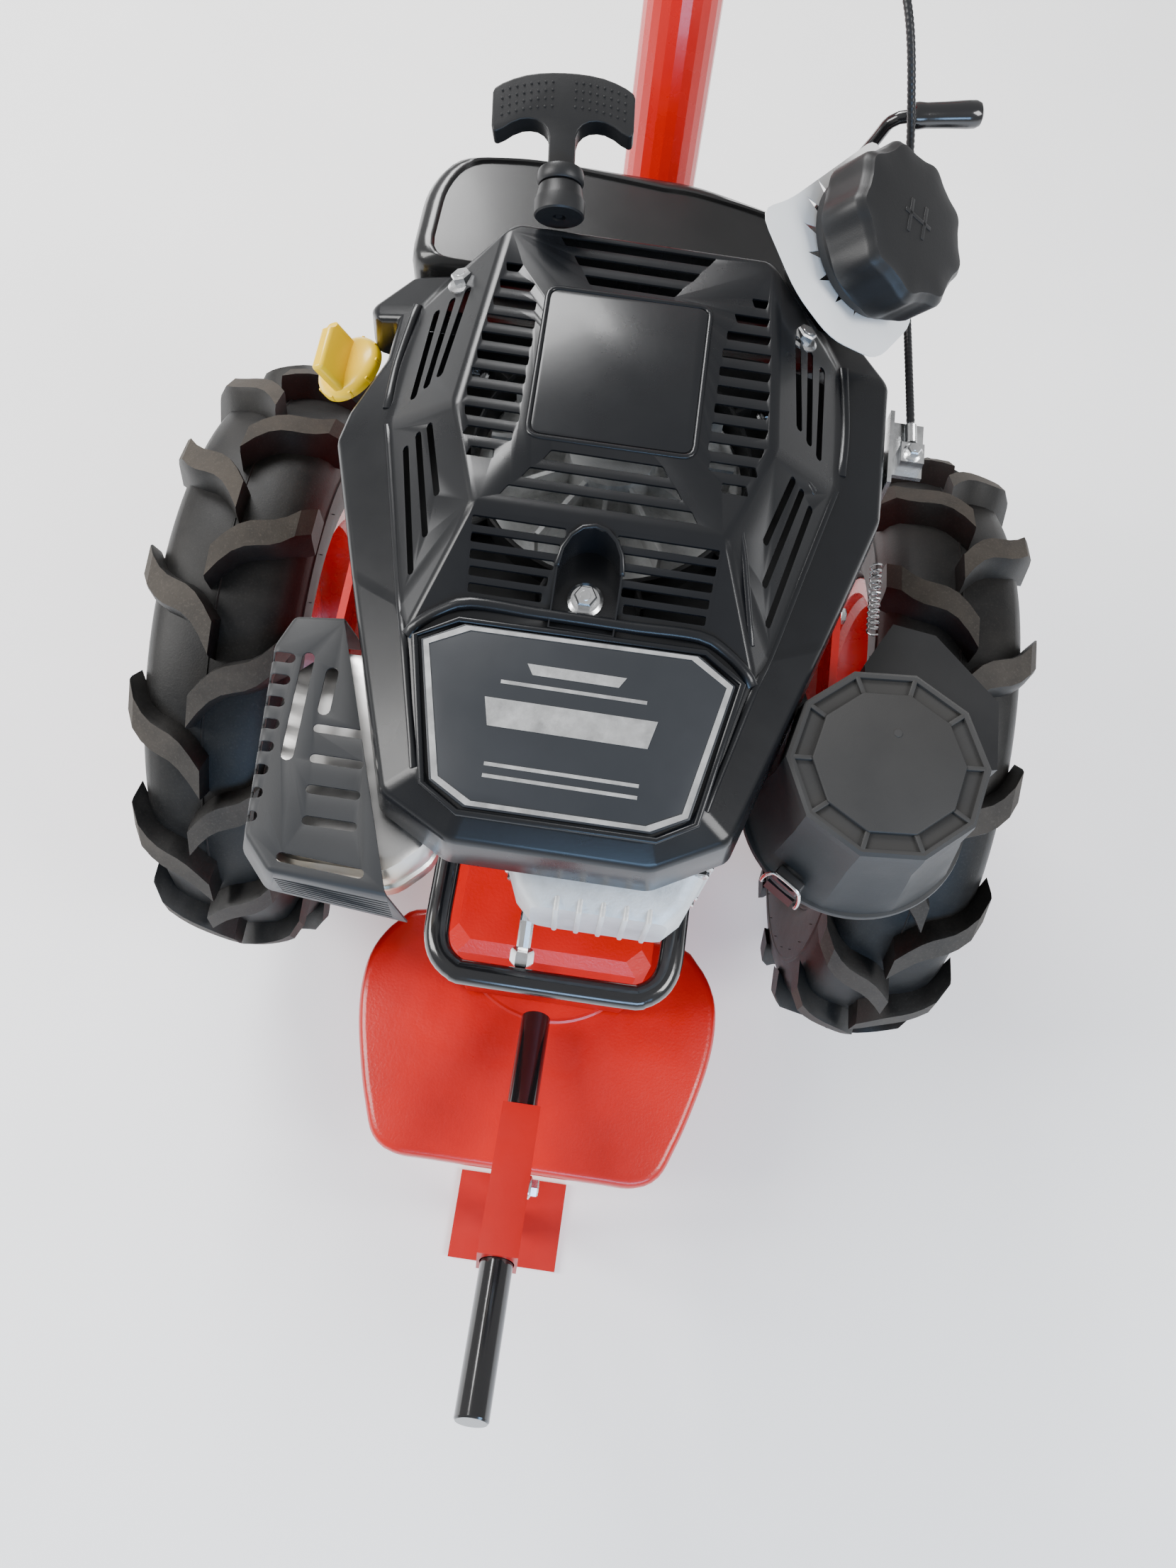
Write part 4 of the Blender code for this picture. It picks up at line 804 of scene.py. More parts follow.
def ridge_strip(points, width, height, spacing=0.006, cyclic=False):
    """A low rounded strip lying on the cowl along these points."""
    path = spline(points, spacing, cyclic) if spacing else [Vector(p) for p in points]
    rings = []
    count = len(path)
    for i, point in enumerate(path):
        before = path[i - 1] if i or cyclic else point
        after = path[(i + 1) % count] if i < count - 1 or cyclic else point
        side = (after - before).cross(UP).normalized()
        ring = []
        rise = height if cyclic or 0 < i < count - 1 else height * 0.15
        for k in range(7):
            turn = math.pi * k / 6
            ring.append(point + side * (width / 2 * math.cos(turn)) + UP * (rise * math.sin(turn)))
        ring.append(point - UP * 0.0012 - side * (width / 2))
        ring.insert(0, point - UP * 0.0012 + side * (width / 2))
        rings.append(ring)
    if cyclic:
        rings.append(rings[0])
    return loft(rings, caps=not cyclic, angle=50)


def cowl_trim(arch):
    """The panel's raised frame, the roll in front of it, the flanks' beads, the bolt niche and the bolts."""
    z = PLATEAU_Z + 0.0002
    corners = [(-0.056, 0.077), (0.05, 0.079), (0.051, -0.037), (-0.053, -0.038)]
    outline = rounded(corners, 0.008, 4)
    frame_ring = ridge_strip([(x, y, z) for x, y in outline], 0.0034, 0.0011, None, True)
    inner = rounded([(x * 0.965, y * 0.965 + 0.0008) for x, y in corners], 0.007, 4)
    panel = worked(prism(inner, z - 0.0004, z + 0.0006), bevel(0.0005, 2, 40))
    half = [(0.0, -0.1445, 0.739), (0.03, -0.1445, 0.739), (0.07, -0.144, 0.739), (0.088, -0.15, 0.734)]
    half += [(0.101, -0.159, 0.729), (0.1065, -0.1655, 0.7255)]
    points = [(-x, y, z0) for x, y, z0 in half[:0:-1]] + half
    roll = ridge_strip(points, 0.0075, 0.0032, 0.006)
    flanks = []
    for side in (-1, 1):
        line = [(side * 0.149, -0.011, RIDGE_Z), (side * 0.1325, -0.0755, RIDGE_Z)]
        line += [(side * 0.116, -0.14, RIDGE_Z), (side * 0.1085, -0.164, 0.724), (side * 0.097, -0.208, 0.72)]
        line += [(side * 0.087, -0.246, RIDGE_Z)]
        flanks.append(ridge_strip(line, 0.0052, 0.0016, 0.008))
        edge = [(side * 0.148, 0.088, 0.718), (side * 0.153, 0.04, 0.715), (side * 0.1525, 0.002, 0.716)]
        flanks.append(ridge_strip(edge, 0.006, 0.002, 0.006))
    edge = [(0.1337, -0.024, 0.73), (0.1062, -0.015, 0.75), (0.098, -0.03, 0.761), (0.085, -0.072, 0.76)]
    edge += [(0.09, -0.095, 0.752), (0.102, -0.142, 0.733)]
    flanks.append(ridge_strip(edge, 0.005, 0.0024, 0.006))
    place("cowl_trim", joined([frame_ring, panel, roll] + flanks, 40), SHROUD, "root", "black_plastic")
    foot = [(x, y, 0.7345) for x, y in arch]
    top = [(x, y, 0.738 + 0.027 * max(0.0, min(1.0, (y + 0.143) / 0.049))) for x, y in arch]
    niche = loft([top, foot], caps=False)
    floor = prism(arch, 0.7335, 0.7347)
    lip = ridge_strip([(x, y, h + 0.0002) for x, y, h in top[2:]], 0.003, 0.0012, None)
    niche = worked(niche, ("SOLIDIFY", {"thickness": 0.0012, "offset": 0}))
    place("cowl_niche", joined([niche, floor, lip], 40), SHROUD, "root", "black_plastic")
    bolts = [hex_bolt((-0.002, -0.129, 0.7347), (0, -0.1, 0.99), 0.0072, 0.0112, 0.008)]
    for x, y in ((-0.115, 0.09), (0.1135, 0.085)):
        bolts.append(hex_bolt((x, y, 0.742), (math.copysign(0.35, x), 0.25, 0.9), 0.0072, 0.0112, 0.008))
    place("cowl_bolts", joined(bolts, 25), ZINC, "root", "zinc")


def blower_base():
    """The black plate round the fan, which closes the view down past the engine."""
    half = [(0.0, 0.118), (0.1, 0.118), (0.148, 0.105), (0.154, 0.06), (0.156, 0.03)]
    half += [(0.169, -0.012), (0.128, -0.15), (0.085, -0.235), (0.05, -0.25), (0.0, -0.25)]
    outline = rounded(half + [(-x, y) for x, y in half[-2:0:-1]], 0.01, 3)
    plate = prism(outline, 0.675, 0.6775)
    hole = lathe([(0, 0.6), (FAN_WELL_R, 0.6), (FAN_WELL_R, 0.8), (0, 0.8)], steps=72)
    wall = [(FAN_WELL_R, 0.677), (FAN_WELL_R, 0.7), (0.094, 0.701), (0.0955, 0.7), (0.0955, 0.677)]
    parts = [cut(plate, [hole]), lathe(wall, steps=72)]
    for k in range(10):
        turn = 2 * math.pi * k / 10
        arm = box((0.095, -0.0015, 0.677), (0.112, 0.0015, 0.694), 0.0005, 2)
        parts.append(moved(arm, Matrix.Rotation(turn, 4, "Z")))
    place("blower_base", joined(parts), GUARD_BLACK, "root", "black_paint")
    screws = []
    for x, y in ((-0.105, 0.07), (0.105, 0.07), (-0.1, -0.085), (0.1, -0.085)):
        screws.append(hex_bolt((x, y, 0.6775), UP, 0.006, 0.0085, 0.007))
    corners = [(-0.147, 0.081), (-0.104, 0.081), (-0.104, 0.101), (-0.147, 0.101)]
    clip = worked(prism(rounded(corners, 0.004, 3), 0.7, 0.7015), bevel(0.0004, 2, 50))
    place("blower_screws", joined(screws + [clip], 25), ZINC, "root", "zinc")


def name_plate():
    """A blank plate: a silver octagon, a dark field and plain bars where lettering would be."""
    outer = [(-0.094, -0.1715), (-0.07, -0.159), (0.07, -0.157), (0.0936, -0.172)]
    outer += [(0.077, -0.254), (0.056, -0.265), (-0.053, -0.2655), (-0.075, -0.253)]
    slope = (PLATE_BACK_Z - PLATE_FRONT_Z) / (PLATE_BACK_Y - PLATE_FRONT_Y)

    def height(y):
        return PLATE_BACK_Z + (y - PLATE_BACK_Y) * slope

    def sheet(points, low, high):
        def build(work):
            rows = [[work.verts.new((x, y, height(y) + lift)) for x, y in points] for lift in (low, high)]
            count = len(points)
            for i in range(count):
                j = (i + 1) % count
                work.faces.new((rows[0][i], rows[0][j], rows[1][j], rows[1][i]))
            work.faces.new(rows[0][::-1])
            work.faces.new(rows[1])

        return mesh_from(build)

    def inset(points, by):
        middle = Vector((0.0, -0.212))
        made = []
        for point in points:
            away = Vector(point) - middle
            made.append(tuple(middle + away * (1 - by / away.length)))
        return made

    base = sheet(inset(outer, -0.0015), -0.0004, 0.0012)
    bead = [(x, y, height(y) + 0.0002) for x, y in inset(outer, -0.0062)]
    place("cowl_bead", ridge_strip(bead, 0.0042, 0.0018, None, True), SHROUD, "root", "black_plastic")
    border = sheet(outer, 0.0012, 0.0016)
    border = cut(border, [sheet(inset(outer, 0.004), -0.01, 0.01)])
    field = worked(base, bevel(0.0004, 2, 40))
    place("name_plate", field, DECAL, "root", "decal", ["decal_plate"])
    marks = [border]
    for x0, x1, y0, y1 in ((-0.03, 0.03, -0.1765, -0.183), (-0.052, 0.052, -0.2, -0.217)):
        marks.append(sheet([(x0, y0), (x1, y0), (x1 - 0.004, y1), (x0 + 0.004, y1)], 0.0012, 0.0015))
    for x0, x1, y in ((-0.044, 0.044, -0.1885), (-0.046, 0.046, -0.2385), (-0.046, 0.046, -0.2455)):
        marks.append(sheet([(x0, y), (x1, y), (x1, y - 0.0022), (x0, y - 0.0022)], 0.0012, 0.0015))
    place("name_plate_silver", joined(marks), SILVER, "root", "zinc")


# ---------------------------------------------------------------- engine
def valve_cover():
    rings = []
    for y, x0, x1, z0, z1 in (
        (-0.2494, -0.032, 0.104, 0.566, 0.654),
        (-0.26, -0.032, 0.104, 0.566, 0.654),
        (-0.264, -0.029, 0.101, 0.569, 0.651),
        (-0.286, -0.02, 0.092, 0.574, 0.645),
        (-0.2985, -0.009, 0.081, 0.582, 0.637),
    ):
        ring = rounded([(x0, z0), (x1, z0), (x1, z1), (x0, z1)], 0.012, 3)
        rings.append([(x, y, z) for x, z in ring])
    parts = [loft(rings)]
    for i in range(5):
        x = 0.006 + i * 0.015
        parts.append(box((x, -0.301, 0.585), (x + 0.0035, -0.27, 0.642), 0.0012, 2))
    parts.append(box((-0.0335, -0.258, 0.5645), (0.1055, -0.2496, 0.656), 0.0015, 2))
    place("valve_cover_casting", joined(parts), CAST, "root", "cast_aluminium", ["valve_cover"])
    bolts = []
    for x, z in ((-0.0245, 0.6475), (0.0965, 0.6475), (-0.0245, 0.5725), (0.0965, 0.5725)):
        bolts.append(hex_bolt((x, -0.26, z), (0, -1, 0), 0.0055, 0.008, 0.007))
    place("valve_cover_bolts", joined(bolts, 25), ZINC, "root", "zinc")


def dipstick_and_drain():
    path = spline([(-0.012, -0.262, 0.5615), (-0.012, -0.29, 0.559), (-0.012, -0.312, 0.545)], 0.006)
    nut = [(0, 0), (0.0075, 0), (0.0085, 0.002), (0.0085, 0.01), (0.007, 0.012), (0, 0.012)]
    at = path[-1]
    along = (path[-1] - path[-2]).normalized()
    tip = lathe(nut, at - along * 0.004, along, 6, angle=25)
    place("drain_plug", tip, ZINC, "root", "zinc")
    knob = [(0, 0.02), (0.006, 0.02), (0.0085, 0.017), (0.009, 0.01), (0.0075, 0.004), (0.0075, 0), (0, 0)]
    knob = lathe(knob, (-0.066, -0.236, 0.612), (-0.2, -0.75, 0.6), 20)
    stem = tube([(-0.06, -0.215, 0.595), (-0.066, -0.236, 0.612)], 0.0042, 12)
    place("dipstick_knob", joined([knob, stem]), PLASTIC, "root", "black_plastic")


def engine():
    dress(CAST, "crankcase", "carburettor", "flywheel_fan")
    dress(GLOSS_BLACK, "cylinder")
    dress(STEEL, "crankshaft", "clutch_drum")
    dress(ZINC, "oil_drain_tube")
    valve_cover()
    dipstick_and_drain()
    bumper()
    exhaust()
    air_cleaner()
    control_bracket()


def bumper():
    half = [(0.08, -0.145, 0.58), (0.083, -0.19, 0.565), (0.084, -0.26, 0.549), (0.084, -0.295, 0.547)]
    half += [(0.0825, -0.31, 0.546), (0.077, -0.3215, 0.546), (0.066, -0.3295, 0.546), (0.052, -0.331, 0.546)]
    middle = 0.009
    path = [(middle + x, y, z) for x, y, z in half]
    path += [(middle - x, y, z) for x, y, z in half[::-1]]
    mesh = tube(spline(path, 0.005), 0.009, 20)
    place("bumper_tube", mesh, GLOSS_BLACK, "root", "black_paint", ["bumper"])


def exhaust():
    def octagon(half_x, half_y, corner, z, round_by=0.01):
        flat = [(half_x - corner, -half_y), (half_x, -half_y + corner), (half_x, half_y - corner)]
        flat += [(half_x - corner, half_y)]
        flat += [(-x, y) for x, y in flat[::-1]]
        return [(-0.133 + x, -0.226 + y, z) for x, y in rounded(flat, round_by, 3)]

    levels = ((0.05, 0.066, 0.018, 0.6035), (0.055, 0.072, 0.022, 0.606), (0.058, 0.075, 0.024, 0.613))
    levels += ((0.058, 0.075, 0.024, 0.63), (0.0595, 0.0765, 0.024, 0.6315), (0.0595, 0.0765, 0.024, 0.6345))
    levels += ((0.058, 0.075, 0.024, 0.636), (0.058, 0.075, 0.024, 0.654), (0.055, 0.072, 0.023, 0.661))
    levels += ((0.05, 0.067, 0.02, 0.6635),)
    body = loft([octagon(*level) for level in levels])
    route = spline([(-0.095, -0.228, 0.632), (-0.06, -0.228, 0.63), (-0.0268, -0.228, 0.622)], 0.01)
    pipe = tube(route, 0.012, 20)
    place("muffler_can", joined([body, pipe]), HEAT, "root", "zinc", ["muffler"])
    guard()


def guard():
    """The heat guard: a folded sheet with slots down its left fold, long ones above and fine ones in front."""
    top = [(-0.156, -0.14), (-0.187, -0.144), (-0.195, -0.166), (-0.185, -0.292), (-0.166, -0.313)]
    top.append((-0.094, -0.317))
    low = [(-0.15, -0.134), (-0.197, -0.138), (-0.2085, -0.164), (-0.199, -0.289), (-0.178, -0.312)]
    low.append((-0.085, -0.32))

    def build(work):
        upper = [work.verts.new((x, y, 0.686 - 0.02 * (-0.14 - y))) for x, y in top]
        lower = [work.verts.new((x, y, 0.63)) for x, y in low]
        work.faces.new(upper)
        for i in range(len(top) - 1):
            work.faces.new((upper[i], lower[i], lower[i + 1], upper[i + 1]))

    sheet = worked(mesh_from(build), bevel(0.0035, 3, 12), ("SOLIDIFY", {"thickness": 0.0013, "offset": -1}))
    slots = []
    for i in range(8):
        y = -0.174 - i * 0.0152
        slots.append(prism(capsule((-0.22, y), (-0.1835, y), 0.0072), 0.669, 0.72))
    slots.append(prism(capsule((-0.171, -0.238), (-0.172, -0.172), 0.008), 0.6, 0.72))
    slots.append(prism(capsule((-0.155, -0.205), (-0.155, -0.18), 0.008), 0.6, 0.72))
    for i in range(4):
        y = -0.218 - i * 0.02
        slots.append(prism(capsule((-0.156 + i * 0.002, y), (-0.128 + i * 0.002, y), 0.006), 0.6, 0.72))
    slots.append(prism(capsule((-0.16, -0.303), (-0.112, -0.306), 0.0062), 0.66, 0.72))
    for i in range(7):
        z = 0.637 + i * 0.005
        at = frame_at((-0.13, -0.319, z), (1, -0.04, 0), UP)
        outline = rounded([(-0.036, -0.02), (0.036, -0.02), (0.036, 0.02), (-0.036, 0.02)], 0.002, 2)
        slots.append(prism(outline, -0.001, 0.001, at))
    shell = worked(cut(sheet, slots), bevel(0.0003, 2, 60))
    place("heat_guard", shell, GUARD_BLACK, "root", "black_paint", ["muffler_guard"])


def decagon(theta, radius, roundness):
    """The radius towards this angle of a decagon, or of a circle where roundness is 1."""
    step = math.radians(36)
    off = (theta % step) - step / 2
    flat = radius * math.cos(step / 2) / math.cos(off)
    return flat * (1 - roundness) + radius * roundness


def air_cleaner():
    rings = []
    levels = ((0.0735, 0.6062, 1), (0.0772, 0.6062, 1), (0.0785, 0.6075, 1), (0.0788, 0.61, 1))
    levels += ((0.0782, 0.6125, 1),)
    levels += ((0.0765, 0.6135, 0.8), (0.075, 0.62, 0.35), (0.068, 0.66, 0.0), (0.0662, 0.668, 0.0))
    levels += ((0.0655, 0.69, 0.0), (0.0645, 0.695, 0.0), (0.0615, 0.6965, 0.0), (0.05, 0.6968, 0.0))
    for radius, z, roundness in levels:
        ring = []
        for k in range(80):
            theta = 2 * math.pi * k / 80 + math.radians(5)
            r = decagon(theta - math.radians(5), radius, roundness)
            ring.append(CLEANER + Vector((r * math.cos(theta), r * math.sin(theta), z)))
        rings.append(ring)
    body = loft(rings, angle=24)
    corners = [math.radians(5) + math.radians(36) * k for k in range(10)]
    inner = [(CLEANER.x + 0.049 * math.cos(t), CLEANER.y + 0.049 * math.sin(t)) for t in corners]
    plate = worked(prism(inner, 0.694, 0.7), bevel(0.0012, 3, 25))
    outer_ring = []
    for radius, z in ((0.0595, 0.696), (0.06, 0.6988), (0.0625, 0.6992), (0.0648, 0.6975), (0.0655, 0.692)):
        around = [Vector((radius * math.cos(t), radius * math.sin(t), z)) for t in corners]
        outer_ring.append([CLEANER + point for point in around])
    rim_ring = loft(outer_ring, caps=False, angle=20)
    ribs = []
    for t in corners:
        middle = frame_at(CLEANER + UP * 0.6975, (math.cos(t), math.sin(t), 0), UP)
        ribs.append(moved(box((0.048, -0.0016, -0.003), (0.0625, 0.0016, 0.0014), 0.0006, 2), middle))
    gate = [(0.003, 0.6998), (0.0026, 0.7004), (0, 0.7006)]
    nipple = lathe(gate, CLEANER + Vector((0.004, 0.02, 0)), UP, 16)
    parts = [body, plate, rim_ring, nipple] + ribs
    housing = joined(parts, 24)
    place("air_cleaner_housing", housing, CLEANER_LOOK, "root", "black_plastic", ["air_cleaner_cover"])
    dress(PLASTIC, "air_cleaner_base")
    side = UP.cross(LATCH_OUT)
    at = frame_at(CLEANER + LATCH_OUT * 0.0765 + UP * 0.6265, side, UP)
    block = box((-0.0105, -0.004, -0.0085), (0.0105, 0.003, 0.007), 0.0014, 3)
    upright = Matrix.Rotation(math.radians(90), 4, "X")
    hole = prism(capsule((-0.004, 0.0), (0.004, 0.0), 0.006), -0.02, 0.02, upright)
    block = moved(cut(block, [hole]), at)
    place("latch_block", block, BLOCK, "root", "black_plastic")
    hinge = CLEANER + LATCH_OUT * 0.0765 + UP * 0.597
    half = [hinge + side * 0.0128, hinge + LATCH_OUT * 0.003 + side * 0.0145 + UP * 0.002]
    half.append(hinge + LATCH_OUT * 0.0055 + side * 0.0145 + UP * 0.018)
    half.append(hinge + LATCH_OUT * 0.0055 + side * 0.0125 + UP * 0.03)
    half.append(hinge + LATCH_OUT * 0.0048 + side * 0.008 + UP * 0.0365)
    path = half + [p - side * 2 * (p - hinge).dot(side) for p in half[::-1]]
    wire = tube(spline(path, 0.002), 0.0013, 10)
    place("latch_wire", wire, ZINC, "latch", "zinc", ["air_cleaner_latch"])


def control_bracket():
    """The throttle bracket's spring, clamp screw and threaded cable adjuster."""
    dress(ZINC, "control_bracket")
    coil = []
    for i in range(97):
        turn = 2 * math.pi * i / 8
        y = -0.02 - 0.055 * i / 96
        coil.append((0.196 + 0.004 * math.cos(turn), y, 0.65 + 0.004 * math.sin(turn)))
    coil = tube(coil, 0.0007, 6)
    screws = [hex_bolt((0.204, 0.042, 0.699), UP, 0.005, 0.007, 0.0055)]
    thread = [(0.0044, 0.0)]
    for i in range(10):
        thread += [(0.0044, i * 0.0016 + 0.0006), (0.0037, i * 0.0016 + 0.0012)]
    thread += [(0.0035, 0.0165), (0, 0.0165)]
    adjuster = lathe([(0, 0.0)] + thread, (0.2035, 0.052, 0.694), (-0.05, 1, 0.0), 20)
    place("throttle_screws", joined(screws + [coil, adjuster], 25), ZINC, "root", "zinc")


# ---------------------------------------------------------------- fuel and oil
def fuel_tank():
    outline = [(-0.166, 0.134), (0.15, 0.134), (0.168, 0.16), (0.16, 0.205), (0.084, 0.231), (0.03, 0.247)]
    outline += [(-0.1, 0.247), (-0.152, 0.237), (-0.166, 0.205)]
    middle = Vector((0.0, 0.19))

    def ring(shrink, z):
        made = []
        for x, y in rounded(outline, 0.02, 4):
            away = Vector((x, y)) - middle
            point = middle + away * (1 - shrink / away.length)
            made.append((point.x, point.y, z))
        return made

    levels = ((0.006, 0.605), (0.001, 0.61), (0.0, 0.65), (0.0025, 0.652), (0.0025, 0.656))
    levels += ((0.0, 0.658), (0.0, 0.696), (0.0015, 0.703), (0.0055, 0.708), (0.012, 0.711))
    levels += ((0.015, 0.7105), (0.0165, 0.7085))
    body = loft([ring(*level) for level in levels], angle=40)
    neck_foot = CAP_TOP - CAP_AXIS * 0.128
    profile = [(0.0355, 0.04), (0.0335, 0.055), (0.0318, 0.066), (0.0318, 0.116), (0.029, 0.116)]
    profile.append((0.029, 0.1))
    neck = lathe(profile, neck_foot, CAP_AXIS, 48)
    place("tank_shell", joined([body, neck], 40), TANK, "root", "black_plastic", ["fuel_tank"])
    lines = []
    for i in range(4):
        y = 0.205 + i * 0.0035
        lines.append(box((-0.02 + i * 0.003, y - 0.062, 0.708), (0.04, y - 0.0612, 0.7087)))
    place("tank_marks", joined(lines), SILVER, "root", "zinc")


def scallop(theta, radius, depth, lobes=9):
    """The cap's edge: wide hollow flutes between narrow lands."""
    wave = 0.5 + 0.5 * math.cos(lobes * theta + 0.6)
    return radius - depth * (1 - wave**1.6)


def fuel_cap():
    rings = []
    levels = ((0.047, -0.0365, 0.0), (0.0542, -0.0355, 0.5), (0.055, -0.033, 0.9), (0.0545, -0.009, 1.0))
    levels += ((0.0535, -0.0066, 1.0), (0.051, -0.0042, 1.0), (0.0495, -0.0026, 0.9), (0.047, -0.002, 0.8))
    levels += ((0.038, -0.0012, 0.3), (0.03, -0.0007, 0.0), (0.015, -0.0002, 0.0), (0.004, -0.0001, 0.0))
    for radius, height, lobed in levels:
        ring = []
        for k in range(144):
            theta = 2 * math.pi * k / 144
            r = scallop(theta, radius, 0.0045 * lobed)
            ring.append((r * math.cos(theta), r * math.sin(theta), height))
        rings.append(ring)
    cap = loft(rings, angle=26)
    mark = []
    bars = ((-0.01, -0.013, -0.007, 0.011), (0.004, -0.011, 0.007, 0.013), (-0.014, -0.001, 0.012, 0.002))
    for x0, y0, x1, y1 in bars:
        mark.append(box((x0, y0, -0.001), (x1, y1, 0.0004), 0.0003, 2))
    mesh = joined([cap] + mark, 26)
    mesh.transform(Matrix.Translation(CAP_TOP) @ towards(CAP_AXIS))
    place("fuel_cap_scalloped", mesh, PLASTIC, "fuel_cap", "black_plastic", ["fuel_cap"])
    turned = [(0.043, -0.039), (0.0455, -0.0396), (0.0468, -0.0415), (0.047, -0.0465), (0.0455, -0.048)]
    turned += [(0.033, -0.048), (0.033, -0.039)]
    collar = lathe(turned, CAP_TOP, CAP_AXIS, 72, ring=True)
    place("tank_collar_ring", collar, PLASTIC, "root", "black_plastic", ["tank_collar"])
    tag()


def tag():
    """The plain white tag hung round the filler neck, with toothed gaps round its hole."""
    corners = [(-0.091, -0.03), (-0.046, -0.064), (-0.008, -0.075), (0.038, -0.064), (0.065, -0.018)]
    corners += [(0.042, 0.05), (-0.006, 0.09), (-0.07, -0.009)]
    outline = rounded(corners, 0.014, 4)
    sheet = prism(outline, -0.0504, -0.0497)
    hole = lathe([(0, -0.09), (0.0385, -0.09), (0.0385, 0.0), (0, 0.0)], steps=48)
    sheet = cut(sheet, [hole])
    for k in range(16):
        turn = math.radians(-30 - 22 * k)
        away = Vector((math.cos(turn), math.sin(turn)))
        side = Vector((-away.y, away.x))
        tip = Vector((-0.006, 0.001)) + away * 0.05
        tooth = [away * 0.035 - side * 0.0042, away * 0.035 + side * 0.0042, tip]
        sheet = cut(sheet, [prism([(p.x, p.y) for p in tooth], -0.09, 0.0)])
    x_axis = Vector((0, 1, 0)).cross(CAP_AXIS).normalized()
    sheet.transform(frame_at(CAP_TOP, x_axis, CAP_AXIS))
    place("filler_tag", sheet, WHITE, "root", "decal")


def oil_cap():
    disc = [(0, 0.015), (0.012, 0.015), (0.0215, 0.0135), (0.0252, 0.011), (0.0265, 0.008), (0.0265, 0.0045)]
    disc += [(0.025, 0.0036), (0, 0.0036)]
    cap = lathe(disc, steps=60)
    wing = box((-0.0048, -0.0235, 0.006), (0.0048, 0.02, 0.0385), 0.003, 4)
    notch = lathe([(0, -0.02), (0.009, -0.02), (0.009, 0.02), (0, 0.02)], (0, 0.019, 0.042), (1, 0, 0), 30)
    wing = worked(cut(wing, [notch]), bevel(0.0012, 3, 40))
    knurl = box((0.0235, -0.0012, 0.0045), (0.0268, 0.0012, 0.0105), 0.0006, 2)
    knurls = [moved(knurl, Matrix.Rotation(2 * math.pi * k / 10, 4, "Z")) for k in range(10)]
    mesh = joined([cap, wing] + knurls, 40)
    mesh.transform(Matrix.Translation(OIL_MOUTH) @ towards(OIL_AXIS))
    place("oil_cap_winged", mesh, YELLOW, "oil_cap", "yellow_plastic", ["oil_cap"])
    dress(PLASTIC, "oil_filler_tube")


# ---------------------------------------------------------------- starter
def recoil():
    guide = [(0.013, 0.02), (0.014, 0.019), (0.0155, 0.012), (0.0165, 0.01), (0.0165, 0.001), (0.0155, 0.0)]
    guide += [(0.0045, 0.0), (0.0045, 0.02)]
    guide = lathe(guide, ROPE_EXIT, PULL_AXIS, 40, ring=True)
    place("rope_guide_boss", guide, PLASTIC, "root", "black_paint", ["rope_guide"])
    base = ROPE_EXIT + PULL_AXIS * 0.0206
    half = [(0.0, 0.006), (0.0085, 0.006), (0.0085, 0.027), (0.01, 0.032), (0.013, 0.0355)]
    half += [(0.017, 0.0376), (0.022, 0.0382), (0.027, 0.0376), (0.033, 0.035), (0.038, 0.0315)]
    half += [(0.043, 0.029), (0.0452, 0.0298), (0.046, 0.033), (0.046, 0.054), (0.0448, 0.057)]
    half += [(0.04, 0.0602), (0.033, 0.0634), (0.025, 0.066), (0.016, 0.0676), (0.008, 0.0683), (0.0, 0.0685)]
    outline = half + [(-x, y) for x, y in half[-2:0:-1]]
    across = (ACROSS - PULL_AXIS * ACROSS.dot(PULL_AXIS)).normalized()
    facing = across.cross(PULL_AXIS)
    local = Matrix.Translation(base) @ Matrix((across, PULL_AXIS, facing)).transposed().to_4x4()
    body = worked(prism(outline, -0.0085, 0.0085), bevel(0.0026, 4, 30))
    dots = []
    for side in (-1, 1):
        for i in range(8):
            for j in range(4):
                x = side * (0.0075 + i * 0.0046)
                y = 0.0625 - j * 0.0052 - 0.0000045 * (x * 1000) ** 2
                dots.append(lathe([(0.0009, 0.0083), (0.0007, 0.009), (0.0, 0.0092)], (x, y, 0), UP, 8))
    foot = [(0, 0.0098), (0.012, 0.0098), (0.0145, 0.009), (0.0152, 0.007), (0.0152, 0.0015)]
    foot += [(0.014, 0.0), (0, 0.0)]
    foot = lathe(foot, base, PULL_AXIS, 40)
    mesh = joined([moved(joined([body] + dots, 40), local), foot], 40)
    place("pull_handle", mesh, PLASTIC, "recoil", "black_plastic", ["recoil_handle"])
    dress(GRIP, "starter_rope")


# ---------------------------------------------------------------- gearbox, weight and prop
def gearbox():
    dress(ROUGH_RED, "gearbox_left", "gearbox_right", "weight_bracket")
    dress(RED, "bell_housing", "column_bracket", "hitch")
    bolts = []
    for side in (-1, 1):
        x = side * 0.062
        for i in range(9):
            turn = math.radians(60 + 30 * i)
            spot = (x, 0.098 * math.sin(turn), AXLE_Z + 0.098 * math.cos(turn))
            bolts.append(hex_bolt(spot, (side, 0, 0), 0.007, 0.0095, 0.007))
        for y in (-0.085, 0.085):
            bolts.append(hex_bolt((x, y, 0.425), (side, 0, 0), 0.007, 0.0095, 0.007))
        for y in (-0.09, 0.0, 0.09):
            bolts.append(hex_bolt((side * 0.195, y, 0.537), (side, 0, 0), 0.0065, 0.009, 0.0065))
    place("gearbox_bolts", joined(bolts, 25), ZINC, "root", "zinc")


